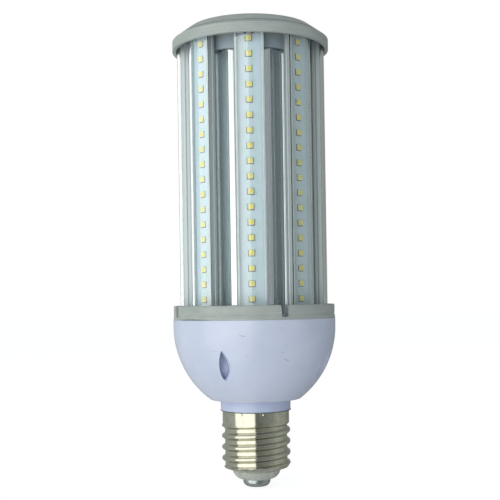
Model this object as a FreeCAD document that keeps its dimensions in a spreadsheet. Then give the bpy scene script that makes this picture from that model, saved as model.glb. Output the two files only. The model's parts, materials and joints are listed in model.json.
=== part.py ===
import FreeCAD, Part
import math
import os
from types import SimpleNamespace

import Sketcher
from FreeCAD import Placement, Rotation, Vector

# Corn LED lamp with eight LED columns round a finned core, on an E40 screw base.
# Lengths are in millimetres and +Z points from the screw base up to the top cap.
# The origin is on the axis, in the plane where the plastic neck meets the screw shell.
# Column 0 faces -Y. Angles round the axis start at -Y and grow towards +X.

# Driving sizes: one name and one value each, all kept in the sheet
SIZES = {
    # Centre contact and insulator
    "contact_radius": 7.9,
    "contact_height": 4.9,
    "contact_edge": 3.3,
    "contact_dome": 0.6,
    "contact_stem": 3.0,
    "contact_stem_length": 6.4,
    "insulator_height": 5.1,
    "insulator_tip": 8.1,
    "insulator_curve": 6.0,
    "insulator_step": 0.35,
    "insulator_plug": 3.0,
    # Screw shell
    "shell_length": 34.8,
    "shell_wall": 0.6,
    "shell_mouth": 13.8,
    "shell_taper": 4.0,
    "shell_corner": 18.4,
    "shell_turn_in": 1.8,
    "collar_radius": 19.2,
    "collar_length": 8.1,
    "thread_crest": 19.7,
    "thread_root": 17.95,
    "thread_pitch": 6.35,
    "thread_flank": 2.45,
    "thread_land": 0.85,
    "thread_first": 11.9,
    "punch_drop": 1.6,
    "punch_radius": 0.75,
    "punch_depth": 0.35,
    "punch_angle": 11.4,
    "punch_count": 10,
    # Plastic housing
    "bowl_lip": 0.15,
    "bowl_centre": 47.7,
    "bowl_foot": 26.1,
    "plastic_wall": 2.5,
    "neck_radius": 20.2,
    "neck_draft": 0.1,
    "neck_height": 6.2,
    "spigot_length": 7.0,
    "spigot_wall": 2.0,
    "spigot_gap": 0.3,
    "seam_band": 4.5,
    "seam_chamfer": 0.35,
    "vent_width": 6.7,
    "vent_length": 18.2,
    "vent_tilt": 22.9,
    "vent_slant": 52.0,
    "vent_angle": 18.9,
    "boss_inset": 2.85,
    "boss_radius": 2.9,
    "boss_height": 18.0,
    "post_inset": 5.5,
    "post_radius": 3.0,
    # Bottom ring
    "ring_gap": 2.0,
    "ring_step": 0.2,
    "ring_step_height": 2.3,
    "ring_slope": 1.1,
    "ring_groove": 0.2,
    "ring_groove_width": 0.35,
    "ring_height": 7.8,
    "ring_wall": 1.9,
    "ring_floor": 1.4,
    "ring_round": 0.5,
    "hub_gap": 4.3,
    "hub_drop": 2.6,
    "wire_hole": 10.0,
    "skirt_drop": 3.7,
    "skirt_wall": 1.6,
    "skirt_gap": 0.3,
    "notch_width": 4.6,
    "notch_taper": 0.35,
    "notch_round": 0.9,
    "notch_angle": 22.5,
    # Heat sink extrusion
    "columns": 8,
    "sink_length": 155.9,
    "core_flat": 27.9,
    "core_wall": 2.5,
    "stem_width": 5.0,
    "stem_fillet": 1.2,
    "stem_length": 7.2,
    "plate_fillet": 0.8,
    "plate_half": 8.25,
    "plate_wall": 1.3,
    "lip_height": 4.2,
    "lip_width": 1.9,
    "groove_depth": 0.65,
    "groove_height": 1.05,
    "side_groove": 0.35,
    "port_inset": 3.5,
    "port_wall": 1.5,
    # LED boards, LEDs and clear covers
    "board_thick": 0.9,
    "board_side_gap": 0.1,
    "board_end_gap": 0.5,
    "led_width": 3.5,
    "led_height": 3.3,
    "led_thick": 0.8,
    "led_rim": 0.4,
    "led_recess": 0.12,
    "led_pitch": 8.27,
    "led_count": 18,
    "led_first": 9.8,
    "cover_rise": 3.0,
    "cover_wall": 1.0,
    "cover_edge_gap": 0.05,
    "cover_leg": 0.8,
    "cover_leg_gap": 0.45,
    # Top cap
    "cap_gap": 0.5,
    "cap_rim": 5.4,
    "cap_cone": 9.3,
    "cap_height": 12.2,
    "cap_wall": 2.0,
    "cap_overlap": 3.85,
    "cap_groove_inset": 2.6,
    "cap_groove_width": 0.5,
    "cap_groove_depth": 0.35,
    "sleeve_gap": 0.3,
    "sleeve_wall": 1.8,
    "sleeve_drop": 8.6,
    "sleeve_slot_gap": 0.3,
    "sleeve_slot_rise": 3.1,
    "cap_boss": 4.2,
    # Screws
    "screw_gap": 0.05,
    "big_screw": 2.0,
    "big_head": 4.0,
    "big_head_depth": 2.1,
    "big_screw_length": 18.0,
    "small_screw": 1.4,
    "small_head": 2.5,
    "small_head_height": 1.5,
    "small_screw_length": 10.0,
    "cross_length": 2.6,
    "cross_width": 0.7,
    "cross_depth": 0.9,
    # Driver
    "driver_headroom": 4.0,
    "driver_radius": 31.0,
    "driver_thick": 1.6,
    "driver_sleeve_edge": 0.2,
    "driver_sleeve_wall": 0.8,
    "driver_sleeve_gap": 0.3,
    "core_length": 26.0,
    "core_depth": 10.0,
    "core_height": 22.0,
    "core_yoke": 4.0,
    "core_leg": 7.0,
    "core_back": 8.0,
    "winding_wall": 4.6,
    "winding_gap": 0.2,
    "capacitor_radius": 6.4,
    "capacitor_height": 22.0,
    "choke_ring": 5.0,
    "choke_wire": 2.6,
    "choke_foot": 1.2,
    "film_length": 12.0,
    "film_width": 6.0,
    "film_height": 11.0,
    "bridge_length": 15.0,
    "bridge_width": 3.6,
    "bridge_height": 9.0,
    "fuse_radius": 2.4,
    "fuse_length": 9.0,
    "fuse_cap": 1.6,
    "switch_width": 10.0,
    "switch_thick": 4.6,
    "switch_height": 9.2,
    "tab_height": 15.0,
    "tab_thick": 1.3,
    "disc_radius": 4.5,
    "disc_thick": 3.4,
    "chip_length": 5.0,
    "chip_width": 4.0,
    "chip_height": 1.6,
    # Leads
    "mains_lead": 0.8,
    "supply_lead": 0.7,
    "jumper_lead": 0.6,
    "lead_gap": 0.05,
    "supply_bend": 1.4,
    "jumper_bend": 1.3,
    "live_bend": 20.0,
    "neutral_bend": 5.0,
    "mains_side": 4.0,
    "mains_back": 2.0,
    "neutral_drop": 4.0,
    "neutral_weld": 8.0,
    "supply_back": 6.0,
    "supply_foot": 0.6,
    "jumper_foot": 3.0,
    "jumper_side_gap": 0.3,
}

document = FreeCAD.newDocument("corn_led_lamp")
sheet = document.addObject("Spreadsheet::Sheet", "Sizes")


class Length:
    """A value together with the sheet formula that gives it."""

    def __init__(self, value, formula):
        self.value = value
        self.formula = formula

    def __add__(self, other):
        other = length(other)
        return Length(self.value + other.value, f"({self.formula} + {other.formula})")

    def __radd__(self, other):
        return length(other) + self

    def __sub__(self, other):
        other = length(other)
        return Length(self.value - other.value, f"({self.formula} - {other.formula})")

    def __rsub__(self, other):
        return length(other) - self

    def __mul__(self, other):
        other = length(other)
        return Length(self.value * other.value, f"({self.formula} * {other.formula})")

    def __rmul__(self, other):
        return length(other) * self

    def __truediv__(self, other):
        other = length(other)
        return Length(self.value / other.value, f"({self.formula} / {other.formula})")

    def __neg__(self):
        return length(0) - self


def length(number):
    """Any plain number as a Length, so that it can stand in a formula."""
    if isinstance(number, Length):
        return number
    return Length(float(number), f"{float(number):.9f}")


def root(area):
    """The square root of a Length."""
    return Length(math.sqrt(area.value), f"sqrt({area.formula})")


def sine(angle):
    """The sine of an angle in degrees."""
    angle = length(angle)
    return Length(math.sin(math.radians(angle.value)), f"sin({angle.formula})")


def cosine(angle):
    """The cosine of an angle in degrees."""
    angle = length(angle)
    return Length(math.cos(math.radians(angle.value)), f"cos({angle.formula})")


def largest(*lengths):
    """The largest of several Lengths."""
    formulas = "; ".join(item.formula for item in lengths)
    return Length(max(item.value for item in lengths), f"max({formulas})")


def circle_height(radius, offset):
    """How far a point of a circle lies from one diameter, at this offset along it."""
    return root(radius * radius - offset * offset)


def fill_sheet():
    """Writes every driving size to the sheet and gives them back by name."""
    for row, (name, value) in enumerate(SIZES.items(), start=1):
        sheet.set(f"A{row}", name)
        sheet.set(f"B{row}", str(value))
        sheet.setAlias(f"B{row}", name)
    document.recompute()
    return SimpleNamespace(
        **{name: Length(float(sheet.get(name)), f"Sizes.{name}") for name in SIZES}
    )


# Bodies, sketches and features

def new_body(label, several_solids=False):
    """An empty body with its own label."""
    body = document.addObject("PartDesign::Body", label)
    body.Label = label
    body.AllowCompound = several_solids
    return body


def origin_part(body, role):
    """One of the body's own origin planes or axes."""
    return next(part for part in body.Origin.OriginFeatures if part.Role == role)


def new_sketch(body, role, at=(0, 0, 0)):
    """A sketch parallel to an origin plane, with its own origin at the point given."""
    sketch = body.newObject("Sketcher::SketchObject", f"{body.Label}_sketch")
    sketch.AttachmentSupport = (origin_part(body, role), [""])
    sketch.MapMode = "FlatFace"
    x, y, z = (length(part) for part in at)
    local = (x, y, z) if role == "XY_Plane" else (x, z, -y)
    for axis, part in zip("xyz", local):
        sketch.setExpression(f"AttachmentOffset.Base.{axis}", part.formula)
    return sketch


def facing_sketch(body, angle, distance, height=0, tilt=0, centre=0):
    """An upright sketch turned round the axis and tilted up, on a circle about its centre."""
    sketch = new_sketch(body, "XZ_Plane")
    outward = Rotation(Vector(0, 1, 0), angle)
    aim = outward * Rotation(Vector(1, 0, 0), tilt)
    base = outward.multVec(Vector(0, 0, centre)) + aim.multVec(Vector(0, 0, distance))
    base = base + Vector(0, height, 0)
    sketch.AttachmentOffset = Placement(base, aim)
    for axis, value in (("x", base.x), ("y", base.y), ("z", base.z)):
        sketch.setExpression(f"AttachmentOffset.Base.{axis}", length(value).formula)
    return sketch


def arc_between(start, end, radius):
    """The short arc from start to end. A positive radius has its centre on the left."""
    chord = end - start
    side = 1 if radius > 0 else -1
    to_centre = Vector(-chord.y, chord.x, 0) * (side / chord.Length)
    depth = math.sqrt(max(radius * radius - chord.Length ** 2 / 4, 0))
    centre = start + chord * 0.5 + to_centre * depth
    first, last = (start, end) if side > 0 else (end, start)
    angles = [math.atan2(point.y - centre.y, point.x - centre.x) for point in (first, last)]
    return Part.ArcOfCircle(Part.Circle(centre, Vector(0, 0, 1), abs(radius)), *angles)


def tie(sketch, kind, value, *places):
    """A dimension of the sketch that follows its formula in the sheet."""
    value = length(value)
    number = sketch.addConstraint(Sketcher.Constraint(kind, *places, value.value))
    sketch.setExpression(f"Constraints[{number}]", value.formula)


def tie_point(sketch, edge, point, x, y):
    """Holds one point of the sketch at x and y."""
    for kind, axis, value in (("DistanceX", -2, length(x)), ("DistanceY", -1, length(y))):
        if abs(value.value) < 1e-7:
            sketch.addConstraint(Sketcher.Constraint("PointOnObject", edge, point, axis))
        else:
            tie(sketch, kind, value, -1, 1, edge, point)


def draw(sketch, path):
    """Draws a closed outline with every corner tied to the sheet.

    A corner is x and y, and a third value is the radius of the arc to the next corner.
    """
    corners = [Vector(length(corner[0]).value, length(corner[1]).value, 0) for corner in path]
    ends = []
    for index, corner in enumerate(path):
        start, end = corners[index], corners[(index + 1) % len(path)]
        if len(corner) == 2:
            edge = sketch.addGeometry(Part.LineSegment(start, end))
            ends.append((edge, 1, 2))
            continue
        radius = length(corner[2])
        edge = sketch.addGeometry(arc_between(start, end, radius.value))
        ends.append((edge, 1, 2) if radius.value > 0 else (edge, 2, 1))
        tie(sketch, "Radius", radius if radius.value > 0 else -radius, edge)
    for index, (edge, start_point, end_point) in enumerate(ends):
        next_edge, next_point, _ = ends[(index + 1) % len(ends)]
        sketch.addConstraint(
            Sketcher.Constraint("Coincident", edge, end_point, next_edge, next_point)
        )
        tie_point(sketch, edge, start_point, path[index][0], path[index][1])


def draw_circle(sketch, radius, x=0, y=0):
    """Draws a circle with its centre and radius tied to the sheet."""
    centre = Vector(length(x).value, length(y).value, 0)
    circle = Part.Circle(centre, Vector(0, 0, 1), length(radius).value)
    edge = sketch.addGeometry(circle)
    if centre.Length < 1e-7:
        sketch.addConstraint(Sketcher.Constraint("Coincident", edge, 3, -1, 1))
    else:
        tie_point(sketch, edge, 3, x, y)
    tie(sketch, "Radius", radius, edge)


def draw_box(sketch, width, depth, x=0, y=0):
    """Draws a rectangle centred on x and y."""
    left, right = length(x) - width / 2, length(x) + width / 2
    low, high = length(y) - depth / 2, length(y) + depth / 2
    draw(sketch, [(left, low), (right, low), (right, high), (left, high)])


def feature(body, kind, sketch, size_name=None, size=None, reversed_way=False):
    """A pad, pocket, revolution or groove made from a sketch."""
    made = body.newObject(f"PartDesign::{kind}", f"{body.Label}_{kind.lower()}")
    made.Profile = sketch
    if size_name is None:
        made.ReferenceAxis = (sketch, ["V_Axis"])
        made.Angle = 360
    else:
        made.setExpression(size_name, length(size).formula)
        made.Reversed = reversed_way
    body.Tip = made
    return made


def turn(body, sketch):
    """Turns a sketch round its own upright axis."""
    return feature(body, "Revolution", sketch)


def turn_away(body, sketch):
    """Cuts a sketch turned round its own upright axis."""
    return feature(body, "Groove", sketch)


def pad(body, sketch, size, reversed_way=False):
    """Raises a sketch to a solid."""
    return feature(body, "Pad", sketch, "Length", size, reversed_way)


def pocket(body, sketch, size, reversed_way=False):
    """Cuts a sketch into the solid."""
    return feature(body, "Pocket", sketch, "Length", size, reversed_way)


def around(body, features, copies):
    """Repeats features round the Z axis."""
    pattern = body.newObject("PartDesign::PolarPattern", f"{body.Label}_pattern")
    pattern.Originals = features
    pattern.Axis = (origin_part(body, "Z_Axis"), [""])
    pattern.Angle = 360
    pattern.Occurrences = copies
    body.Tip = pattern
    return pattern


def on_circle(radius, angle):
    """X and Y of a point at this radius and angle, the angle in degrees from -Y."""
    return radius * sine(angle), -(radius * cosine(angle))


def column_turn(index):
    """The placement that turns a piece from column 0 to another column."""
    step = 360.0 / column_count
    return Placement(Vector(0, 0, 0), Rotation(Vector(0, 0, 1), index * step))


def block(label, width, depth, height, x, y, z):
    """A box that stands on z, centred on x and y."""
    made = document.addObject("Part::Box", label)
    made.Label = label
    for name, value in (("Length", width), ("Width", depth), ("Height", height)):
        made.setExpression(name, length(value).formula)
    place(made, x - length(width) / 2, y - length(depth) / 2, z)
    return made


def place(item, x, y, z):
    """Moves an object to a point that follows the sheet."""
    for axis, value in (("x", x), ("y", y), ("z", z)):
        item.setExpression(f"Placement.Base.{axis}", length(value).formula)


s = fill_sheet()
column_count = int(s.columns.value)
led_count = int(s.led_count.value)
SCREWS = 4

# Heights shared by several pieces
shell_end = -s.shell_length
insulator_end = shell_end - s.insulator_height
contact_tip = insulator_end - s.contact_height
seam_height = s.bowl_centre + s.seam_band
ring_floor_top = seam_height + s.ring_floor
hub_bottom = seam_height - s.hub_drop
sink_bottom = ring_floor_top
sink_top = sink_bottom + s.sink_length
cap_rim_bottom = sink_top - s.cap_overlap
cap_top = cap_rim_bottom + s.cap_height
cap_inside = cap_top - s.cap_wall
driver_top = hub_bottom - s.driver_headroom - largest(s.core_height, s.capacitor_height)
driver_bottom = driver_top - s.driver_thick
slot_top = sink_top + s.sleeve_slot_rise

# Radii shared by several pieces
plate_back = s.core_flat + s.stem_length
board_back = plate_back + s.plate_wall
board_front = board_back + s.board_thick
lip_front = plate_back + s.lip_height
lip_inside = s.plate_half - s.lip_width
cover_apex = lip_front + s.cover_rise
port_circle = s.core_flat - s.port_inset
ring_inside = cover_apex + s.ring_gap
ring_radius = ring_inside + s.ring_wall + s.ring_step
bowl_radius = ring_radius + s.bowl_lip
bowl_inside = bowl_radius - s.plastic_wall
boss_circle = bowl_inside - s.boss_inset
post_circle = s.driver_radius - s.post_inset
hub_radius = boss_circle - s.boss_radius - s.hub_gap
cap_inner_rim = cover_apex + s.cap_gap
cap_radius = cap_inner_rim + s.cap_wall
spigot_radius = s.collar_radius - s.shell_wall - s.spigot_gap
spigot_inside = spigot_radius - s.spigot_wall
shell_bore = s.thread_root - s.shell_wall
plug_radius = s.shell_mouth - s.insulator_step - s.screw_gap
big_bore = s.big_screw + s.screw_gap
small_bore = s.small_screw + s.screw_gap
sleeve_inside = s.core_flat / math.cos(math.pi / column_count) + s.sleeve_gap
sleeve_outside = sleeve_inside + s.sleeve_wall


# Screw base

def make_centre_contact():
    """The solder-filled brass button under the insulator, with its stem."""
    body = new_body("centre_contact")
    flat = s.contact_radius - s.contact_edge
    rise = contact_tip + s.contact_dome
    dome = (flat * flat + s.contact_dome * s.contact_dome) / (2 * s.contact_dome)
    stem_top = insulator_end + s.contact_stem_length
    sketch = new_sketch(body, "XZ_Plane")
    draw(sketch, [
        (0, contact_tip, dome),
        (flat, rise, s.contact_edge),
        (s.contact_radius, rise + s.contact_edge),
        (s.contact_radius, insulator_end),
        (s.contact_stem, insulator_end),
        (s.contact_stem, stem_top),
        (0, stem_top),
    ])
    turn(body, sketch)
    return body


def make_base_insulator():
    """The rounded insulator between the shell and the contact, plugged into the mouth."""
    body = new_body("base_insulator")
    bore = s.contact_stem + s.screw_gap
    plug_top = shell_end + s.insulator_plug
    sketch = new_sketch(body, "XZ_Plane")
    draw(sketch, [
        (bore, insulator_end),
        (s.insulator_tip, insulator_end, s.insulator_curve),
        (s.shell_mouth, shell_end),
        (plug_radius, shell_end),
        (plug_radius, plug_top),
        (bore, plug_top),
    ])
    turn(body, sketch)
    return body


def make_screw_shell():
    """The plated E40 shell: plain collar, helical thread, tapered mouth and punch marks."""
    body = new_body("screw_shell")
    sketch = new_sketch(body, "XZ_Plane")
    draw(sketch, [
        (0, 0),
        (0, shell_end),
        (s.thread_root, shell_end),
        (s.thread_root, -s.collar_length),
        (s.collar_radius, -s.collar_length),
        (s.collar_radius, 0),
    ])
    turn(body, sketch)

    turns = 5
    lowest = -s.thread_first - s.thread_pitch * (turns - 1)
    inside = s.thread_root - s.shell_wall / 2
    sketch = new_sketch(body, "XZ_Plane")
    draw(sketch, [
        (inside, lowest - s.thread_flank),
        (s.thread_root, lowest - s.thread_flank),
        (s.thread_crest, lowest - s.thread_land),
        (s.thread_crest, lowest + s.thread_land),
        (s.thread_root, lowest + s.thread_flank),
        (inside, lowest + s.thread_flank),
    ])
    thread = body.newObject("PartDesign::AdditiveHelix", "screw_shell_thread")
    thread.Profile = sketch
    thread.ReferenceAxis = (sketch, ["V_Axis"])
    thread.Mode = 0
    thread.Angle = 0
    thread.setExpression("Pitch", s.thread_pitch.formula)
    thread.setExpression("Height", (s.thread_pitch * turns).formula)
    body.Tip = thread

    beyond = s.thread_crest + 4
    sketch = new_sketch(body, "XZ_Plane")
    draw(sketch, [
        (s.collar_radius, -s.collar_length),
        (beyond, -s.collar_length),
        (beyond, 2),
        (s.collar_radius, 2),
    ])
    turn_away(body, sketch)

    below = lowest - s.thread_pitch
    slope = (s.shell_taper - s.shell_turn_in) / (s.thread_crest - s.shell_corner)
    sketch = new_sketch(body, "XZ_Plane")
    draw(sketch, [
        (0, shell_end),
        (0, below),
        (beyond, below),
        (beyond, shell_end + s.shell_taper + slope * (beyond - s.thread_crest)),
        (s.shell_corner, shell_end + s.shell_turn_in),
        (s.shell_mouth, shell_end),
    ])
    turn_away(body, sketch)

    mouth_inside = plug_radius + s.screw_gap
    collar_inside = s.collar_radius - s.shell_wall
    sketch = new_sketch(body, "XZ_Plane")
    draw(sketch, [
        (0, 0),
        (0, shell_end),
        (mouth_inside, shell_end),
        (mouth_inside, shell_end + s.shell_wall),
        (shell_bore, shell_end + s.shell_turn_in + s.shell_wall / 2),
        (shell_bore, -s.collar_length - s.shell_wall),
        (collar_inside, -s.collar_length),
        (collar_inside, 0),
    ])
    turn_away(body, sketch)

    sketch = facing_sketch(body, s.punch_angle.value, s.collar_radius.value + 1)
    draw_circle(sketch, s.punch_radius, 0, -s.punch_drop)
    punch = pocket(body, sketch, 1 + s.punch_depth)
    around(body, [punch], int(s.punch_count.value))
    return body


# Plastic housing

def make_housing():
    """The white moulded bowl with its neck, spigot, inner bosses and slanted vents."""
    body = new_body("housing")
    neck_base = s.neck_radius - s.neck_draft
    step = s.bowl_centre - s.neck_height
    side = bowl_radius - s.bowl_foot
    curve = (side * side + step * step) / (2 * side)
    middle = bowl_radius - curve
    inner_curve = curve - s.plastic_wall
    floor = s.neck_height + s.plastic_wall
    floor_radius = middle + circle_height(inner_curve, s.bowl_centre - floor)
    sketch = new_sketch(body, "XZ_Plane")
    draw(sketch, [
        (spigot_inside, -s.spigot_length),
        (spigot_radius, -s.spigot_length),
        (spigot_radius, 0),
        (neck_base, 0),
        (s.neck_radius, s.neck_height),
        (s.bowl_foot, s.neck_height, curve),
        (bowl_radius, s.bowl_centre),
        (bowl_radius, seam_height - s.seam_chamfer),
        (bowl_radius - s.seam_chamfer, seam_height),
        (bowl_inside, seam_height),
        (bowl_inside, s.bowl_centre, -inner_curve),
        (floor_radius, floor),
        (spigot_inside, floor),
    ])
    turn(body, sketch)

    angle = s.notch_angle
    boss = new_sketch(body, "XY_Plane", (*on_circle(boss_circle, angle), seam_height))
    draw_circle(boss, s.boss_radius)
    boss_pad = pad(body, boss, s.boss_height, reversed_way=True)
    around(body, [boss_pad], SCREWS)

    post = new_sketch(body, "XY_Plane", (*on_circle(post_circle, angle), driver_bottom))
    draw_circle(post, s.post_radius)
    post_pad = pad(body, post, 1, reversed_way=True)
    post_pad.setExpression("Length", None)
    post_pad.Type = "UpToFirst"
    document.recompute()
    around(body, [post_pad], SCREWS)

    boss_bore = new_sketch(body, "XY_Plane", (*on_circle(boss_circle, angle), seam_height))
    draw_circle(boss_bore, small_bore)
    boss_hole = pocket(body, boss_bore, s.small_screw_length)
    around(body, [boss_hole], SCREWS)

    post_bore = new_sketch(body, "XY_Plane", (*on_circle(post_circle, angle), driver_bottom))
    draw_circle(post_bore, small_bore)
    post_hole = pocket(body, post_bore, s.small_screw_length)
    around(body, [post_hole], SCREWS)

    # The vent's sketch touches the bowl, and the cut runs inwards and to the left
    sketch = facing_sketch(
        body, -s.vent_angle.value, curve.value + 1, s.bowl_centre.value, s.vent_tilt.value,
        middle.value,
    )
    half_width, half_length = s.vent_width / 2, s.vent_length / 2
    draw(sketch, [
        (0, half_length, half_length * 1.9),
        (-half_width, -half_length * 0.15, half_length * 1.3),
        (-half_width * 0.45, -half_length * 0.92, half_width * 0.6),
        (half_width * 0.45, -half_length * 0.92, half_length * 1.3),
        (half_width, -half_length * 0.15, half_length * 1.9),
    ])
    document.recompute()
    vent = pocket(body, sketch, (s.plastic_wall + 2.4) / math.cos(math.radians(s.vent_slant.value)))
    slant = math.radians(s.vent_slant.value)
    vent.UseCustomVector = True
    vent.AlongSketchNormal = False
    inwards = Vector(-math.sin(slant), 0, -math.cos(slant))
    vent.Direction = sketch.Placement.Rotation.multVec(inwards)
    around(body, [vent], SCREWS)
    return body


# Bottom ring

def make_bottom_ring():
    """The painted ring that carries the heat sink, with a notched wall and a screwed floor."""
    body = new_body("bottom_ring")
    step_radius = ring_radius - s.ring_step
    step_height = seam_height + s.ring_step_height
    groove_radius = step_radius - s.ring_groove
    ring_top = seam_height + s.ring_height
    skirt_radius = bowl_inside - s.skirt_gap
    skirt_bottom = seam_height - s.skirt_drop
    sketch = new_sketch(body, "XZ_Plane")
    draw(sketch, [
        (ring_radius, seam_height),
        (ring_radius, step_height - s.ring_slope),
        (groove_radius, step_height),
        (step_radius, step_height + s.ring_groove_width),
        (step_radius, ring_top - s.ring_round),
        (step_radius - s.ring_round, ring_top),
        (ring_inside, ring_top),
        (ring_inside, ring_floor_top),
        (s.wire_hole, ring_floor_top),
        (s.wire_hole, hub_bottom),
        (hub_radius, hub_bottom),
        (hub_radius, seam_height),
        (skirt_radius - s.skirt_wall, seam_height),
        (skirt_radius - s.skirt_wall, skirt_bottom),
        (skirt_radius, skirt_bottom),
        (skirt_radius, seam_height),
    ])
    turn(body, sketch)

    # Gaps in the skirt leave room for the housing's bosses
    angle = s.notch_angle
    boss_room = s.boss_radius + s.skirt_gap
    sketch = new_sketch(body, "XY_Plane", (*on_circle(boss_circle, angle), skirt_bottom))
    draw_circle(sketch, boss_room)
    skirt_gap = pocket(body, sketch, s.skirt_drop, reversed_way=True)
    around(body, [skirt_gap], SCREWS)

    # Notches in the wall, one above each housing screw
    mouth = s.notch_width / 2
    foot = mouth - s.notch_taper
    sketch = facing_sketch(body, s.notch_angle.value, ring_radius.value + 1)
    draw(sketch, [
        (-foot, ring_floor_top),
        (foot, ring_floor_top),
        (mouth, ring_top - s.notch_round, -s.notch_round),
        (mouth + s.notch_round, ring_top),
        (mouth + s.notch_round, ring_top + 1),
        (-mouth - s.notch_round, ring_top + 1),
        (-mouth - s.notch_round, ring_top, -s.notch_round),
        (-mouth, ring_top - s.notch_round),
    ])
    notch = pocket(body, sketch, 1 + s.ring_step + s.ring_wall * 1.5)
    around(body, [notch], SCREWS)

    # Countersunk holes from below for the heat sink screws
    sketch = new_sketch(body, "XZ_Plane", (*on_circle(port_circle, angle), hub_bottom))
    head = s.big_head + s.screw_gap
    draw(sketch, [
        (0, 0),
        (head, 0),
        (big_bore, s.big_head_depth),
        (big_bore, s.hub_drop + s.ring_floor),
        (0, s.hub_drop + s.ring_floor),
    ])
    sunk = turn_away(body, sketch)
    around(body, [sunk], SCREWS)

    sketch = new_sketch(body, "XY_Plane", (*on_circle(boss_circle, angle), ring_floor_top))
    draw_circle(sketch, small_bore)
    hole = pocket(body, sketch, s.ring_floor)
    around(body, [hole], SCREWS)
    return body


# Heat sink

def half_arm():
    """The right half of one arm's section, from the core out to the lip, as X and radius."""
    half_stem = s.stem_width / 2
    core = s.core_flat
    notch_low = board_back + s.groove_height
    side = plate_back + s.plate_wall * 1.4
    return [
        (half_stem + s.stem_fillet, core - s.core_wall / 2),
        (half_stem + s.stem_fillet, core, s.stem_fillet),
        (half_stem, core + s.stem_fillet),
        (half_stem, plate_back - s.plate_fillet, s.plate_fillet),
        (half_stem + s.plate_fillet, plate_back),
        (s.plate_half, plate_back),
        (s.plate_half, side - s.side_groove),
        (s.plate_half - s.side_groove, side),
        (s.plate_half, side + s.side_groove),
        (s.plate_half, lip_front),
        (lip_inside, lip_front),
        (lip_inside, notch_low),
        (lip_inside + s.groove_depth, notch_low),
        (lip_inside + s.groove_depth, board_back),
    ]


def mirrored(half):
    """A closed outline in X and Y from a half that is given as X and radius.

    The radius runs towards -Y, so the half's arcs keep their side and the mirror's swap it.
    """
    right = [(corner[0], -corner[1], *corner[2:]) for corner in half]
    left = []
    for index in range(len(half) - 1, -1, -1):
        x, radius = half[index][:2]
        arc = half[index - 1][2:] if index > 0 else ()
        left.append((-x, -radius, *arc))
    return right + left


def make_heat_sink():
    """One aluminium extrusion: a hollow core with a screw port at four corners and T arms."""
    body = new_body("heat_sink")
    half_step = 180.0 / column_count
    corner = s.core_flat / math.cos(math.radians(half_step))
    inner_corner = (s.core_flat - s.core_wall) / math.cos(math.radians(half_step))
    angles = [half_step * (2 * index + 1) for index in range(column_count)]
    sketch = new_sketch(body, "XY_Plane", (0, 0, sink_bottom))
    draw(sketch, [on_circle(corner, angle) for angle in angles])
    draw(sketch, [on_circle(inner_corner, angle) for angle in angles])
    pad(body, sketch, s.sink_length)

    sketch = new_sketch(body, "XY_Plane", (0, 0, sink_bottom))
    draw(sketch, mirrored(half_arm()))
    arm = pad(body, sketch, s.sink_length)
    around(body, [arm], column_count)

    place_x, place_y = on_circle(port_circle, s.notch_angle)
    sketch = new_sketch(body, "XY_Plane", (0, 0, sink_bottom))
    draw_circle(sketch, big_bore + s.port_wall, place_x, place_y)
    port = pad(body, sketch, s.sink_length)
    around(body, [port], SCREWS)

    sketch = new_sketch(body, "XY_Plane", (0, 0, sink_top))
    draw_circle(sketch, big_bore, place_x, place_y)
    bore = pocket(body, sketch, s.sink_length)
    around(body, [bore], SCREWS)
    return body


# LED columns

def make_led_board(index):
    """The white aluminium board that slides in the grooves of one column."""
    body = new_body(f"led_board_{index + 1}")
    half = lip_inside + s.groove_depth - s.board_side_gap
    sketch = new_sketch(body, "XY_Plane", (0, 0, sink_bottom + s.board_end_gap))
    draw(sketch, [
        (-half, -board_back),
        (-half, -board_front),
        (half, -board_front),
        (half, -board_back),
    ])
    pad(body, sketch, s.sink_length - 2 * s.board_end_gap)
    body.Placement = column_turn(index)
    return body


def make_led_row(index):
    """The LEDs of one board: square packages with a shallow phosphor well."""
    body = new_body(f"led_row_{index + 1}", several_solids=True)
    front = board_front + s.led_thick
    first = sink_bottom + s.led_first
    sketch = new_sketch(body, "XZ_Plane", (0, -board_front, 0))
    draw_box(sketch, s.led_width, s.led_height, 0, first)
    package = pad(body, sketch, s.led_thick)
    sketch = new_sketch(body, "XZ_Plane", (0, -front, 0))
    draw_box(sketch, s.led_width - 2 * s.led_rim, s.led_height - 2 * s.led_rim, 0, first)
    well = pocket(body, sketch, s.led_recess)
    pattern = body.newObject("PartDesign::LinearPattern", f"{body.Label}_pattern")
    pattern.Originals = [package, well]
    pattern.Direction = (origin_part(body, "Z_Axis"), [""])
    pattern.setExpression("Length", (s.led_pitch * (led_count - 1)).formula)
    pattern.Occurrences = led_count
    body.Tip = pattern
    body.Placement = column_turn(index)
    return body


def make_clear_cover(index):
    """The clear domed strip over one board, held by two legs between the lips."""
    body = new_body(f"clear_cover_{index + 1}")
    edge = lip_front + s.cover_edge_gap
    half = s.plate_half
    rise = cover_apex - edge
    dome = (half * half + rise * rise) / (2 * rise)
    inner = dome - s.cover_wall
    centre = cover_apex - dome
    leg_out = lip_inside - s.cover_edge_gap
    leg_in = leg_out - s.cover_leg
    leg_end = board_front + s.cover_leg_gap
    inner_edge = centre + circle_height(inner, leg_in)
    sketch = new_sketch(body, "XY_Plane", (0, 0, sink_bottom))
    draw(sketch, [
        (-half, -edge, dome),
        (half, -edge),
        (leg_out, -edge),
        (leg_out, -leg_end),
        (leg_in, -leg_end),
        (leg_in, -inner_edge, -inner),
        (-leg_in, -inner_edge),
        (-leg_in, -leg_end),
        (-leg_out, -leg_end),
        (-leg_out, -edge),
    ])
    pad(body, sketch, s.sink_length)
    body.Placement = column_turn(index)
    return body


# Top cap

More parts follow.
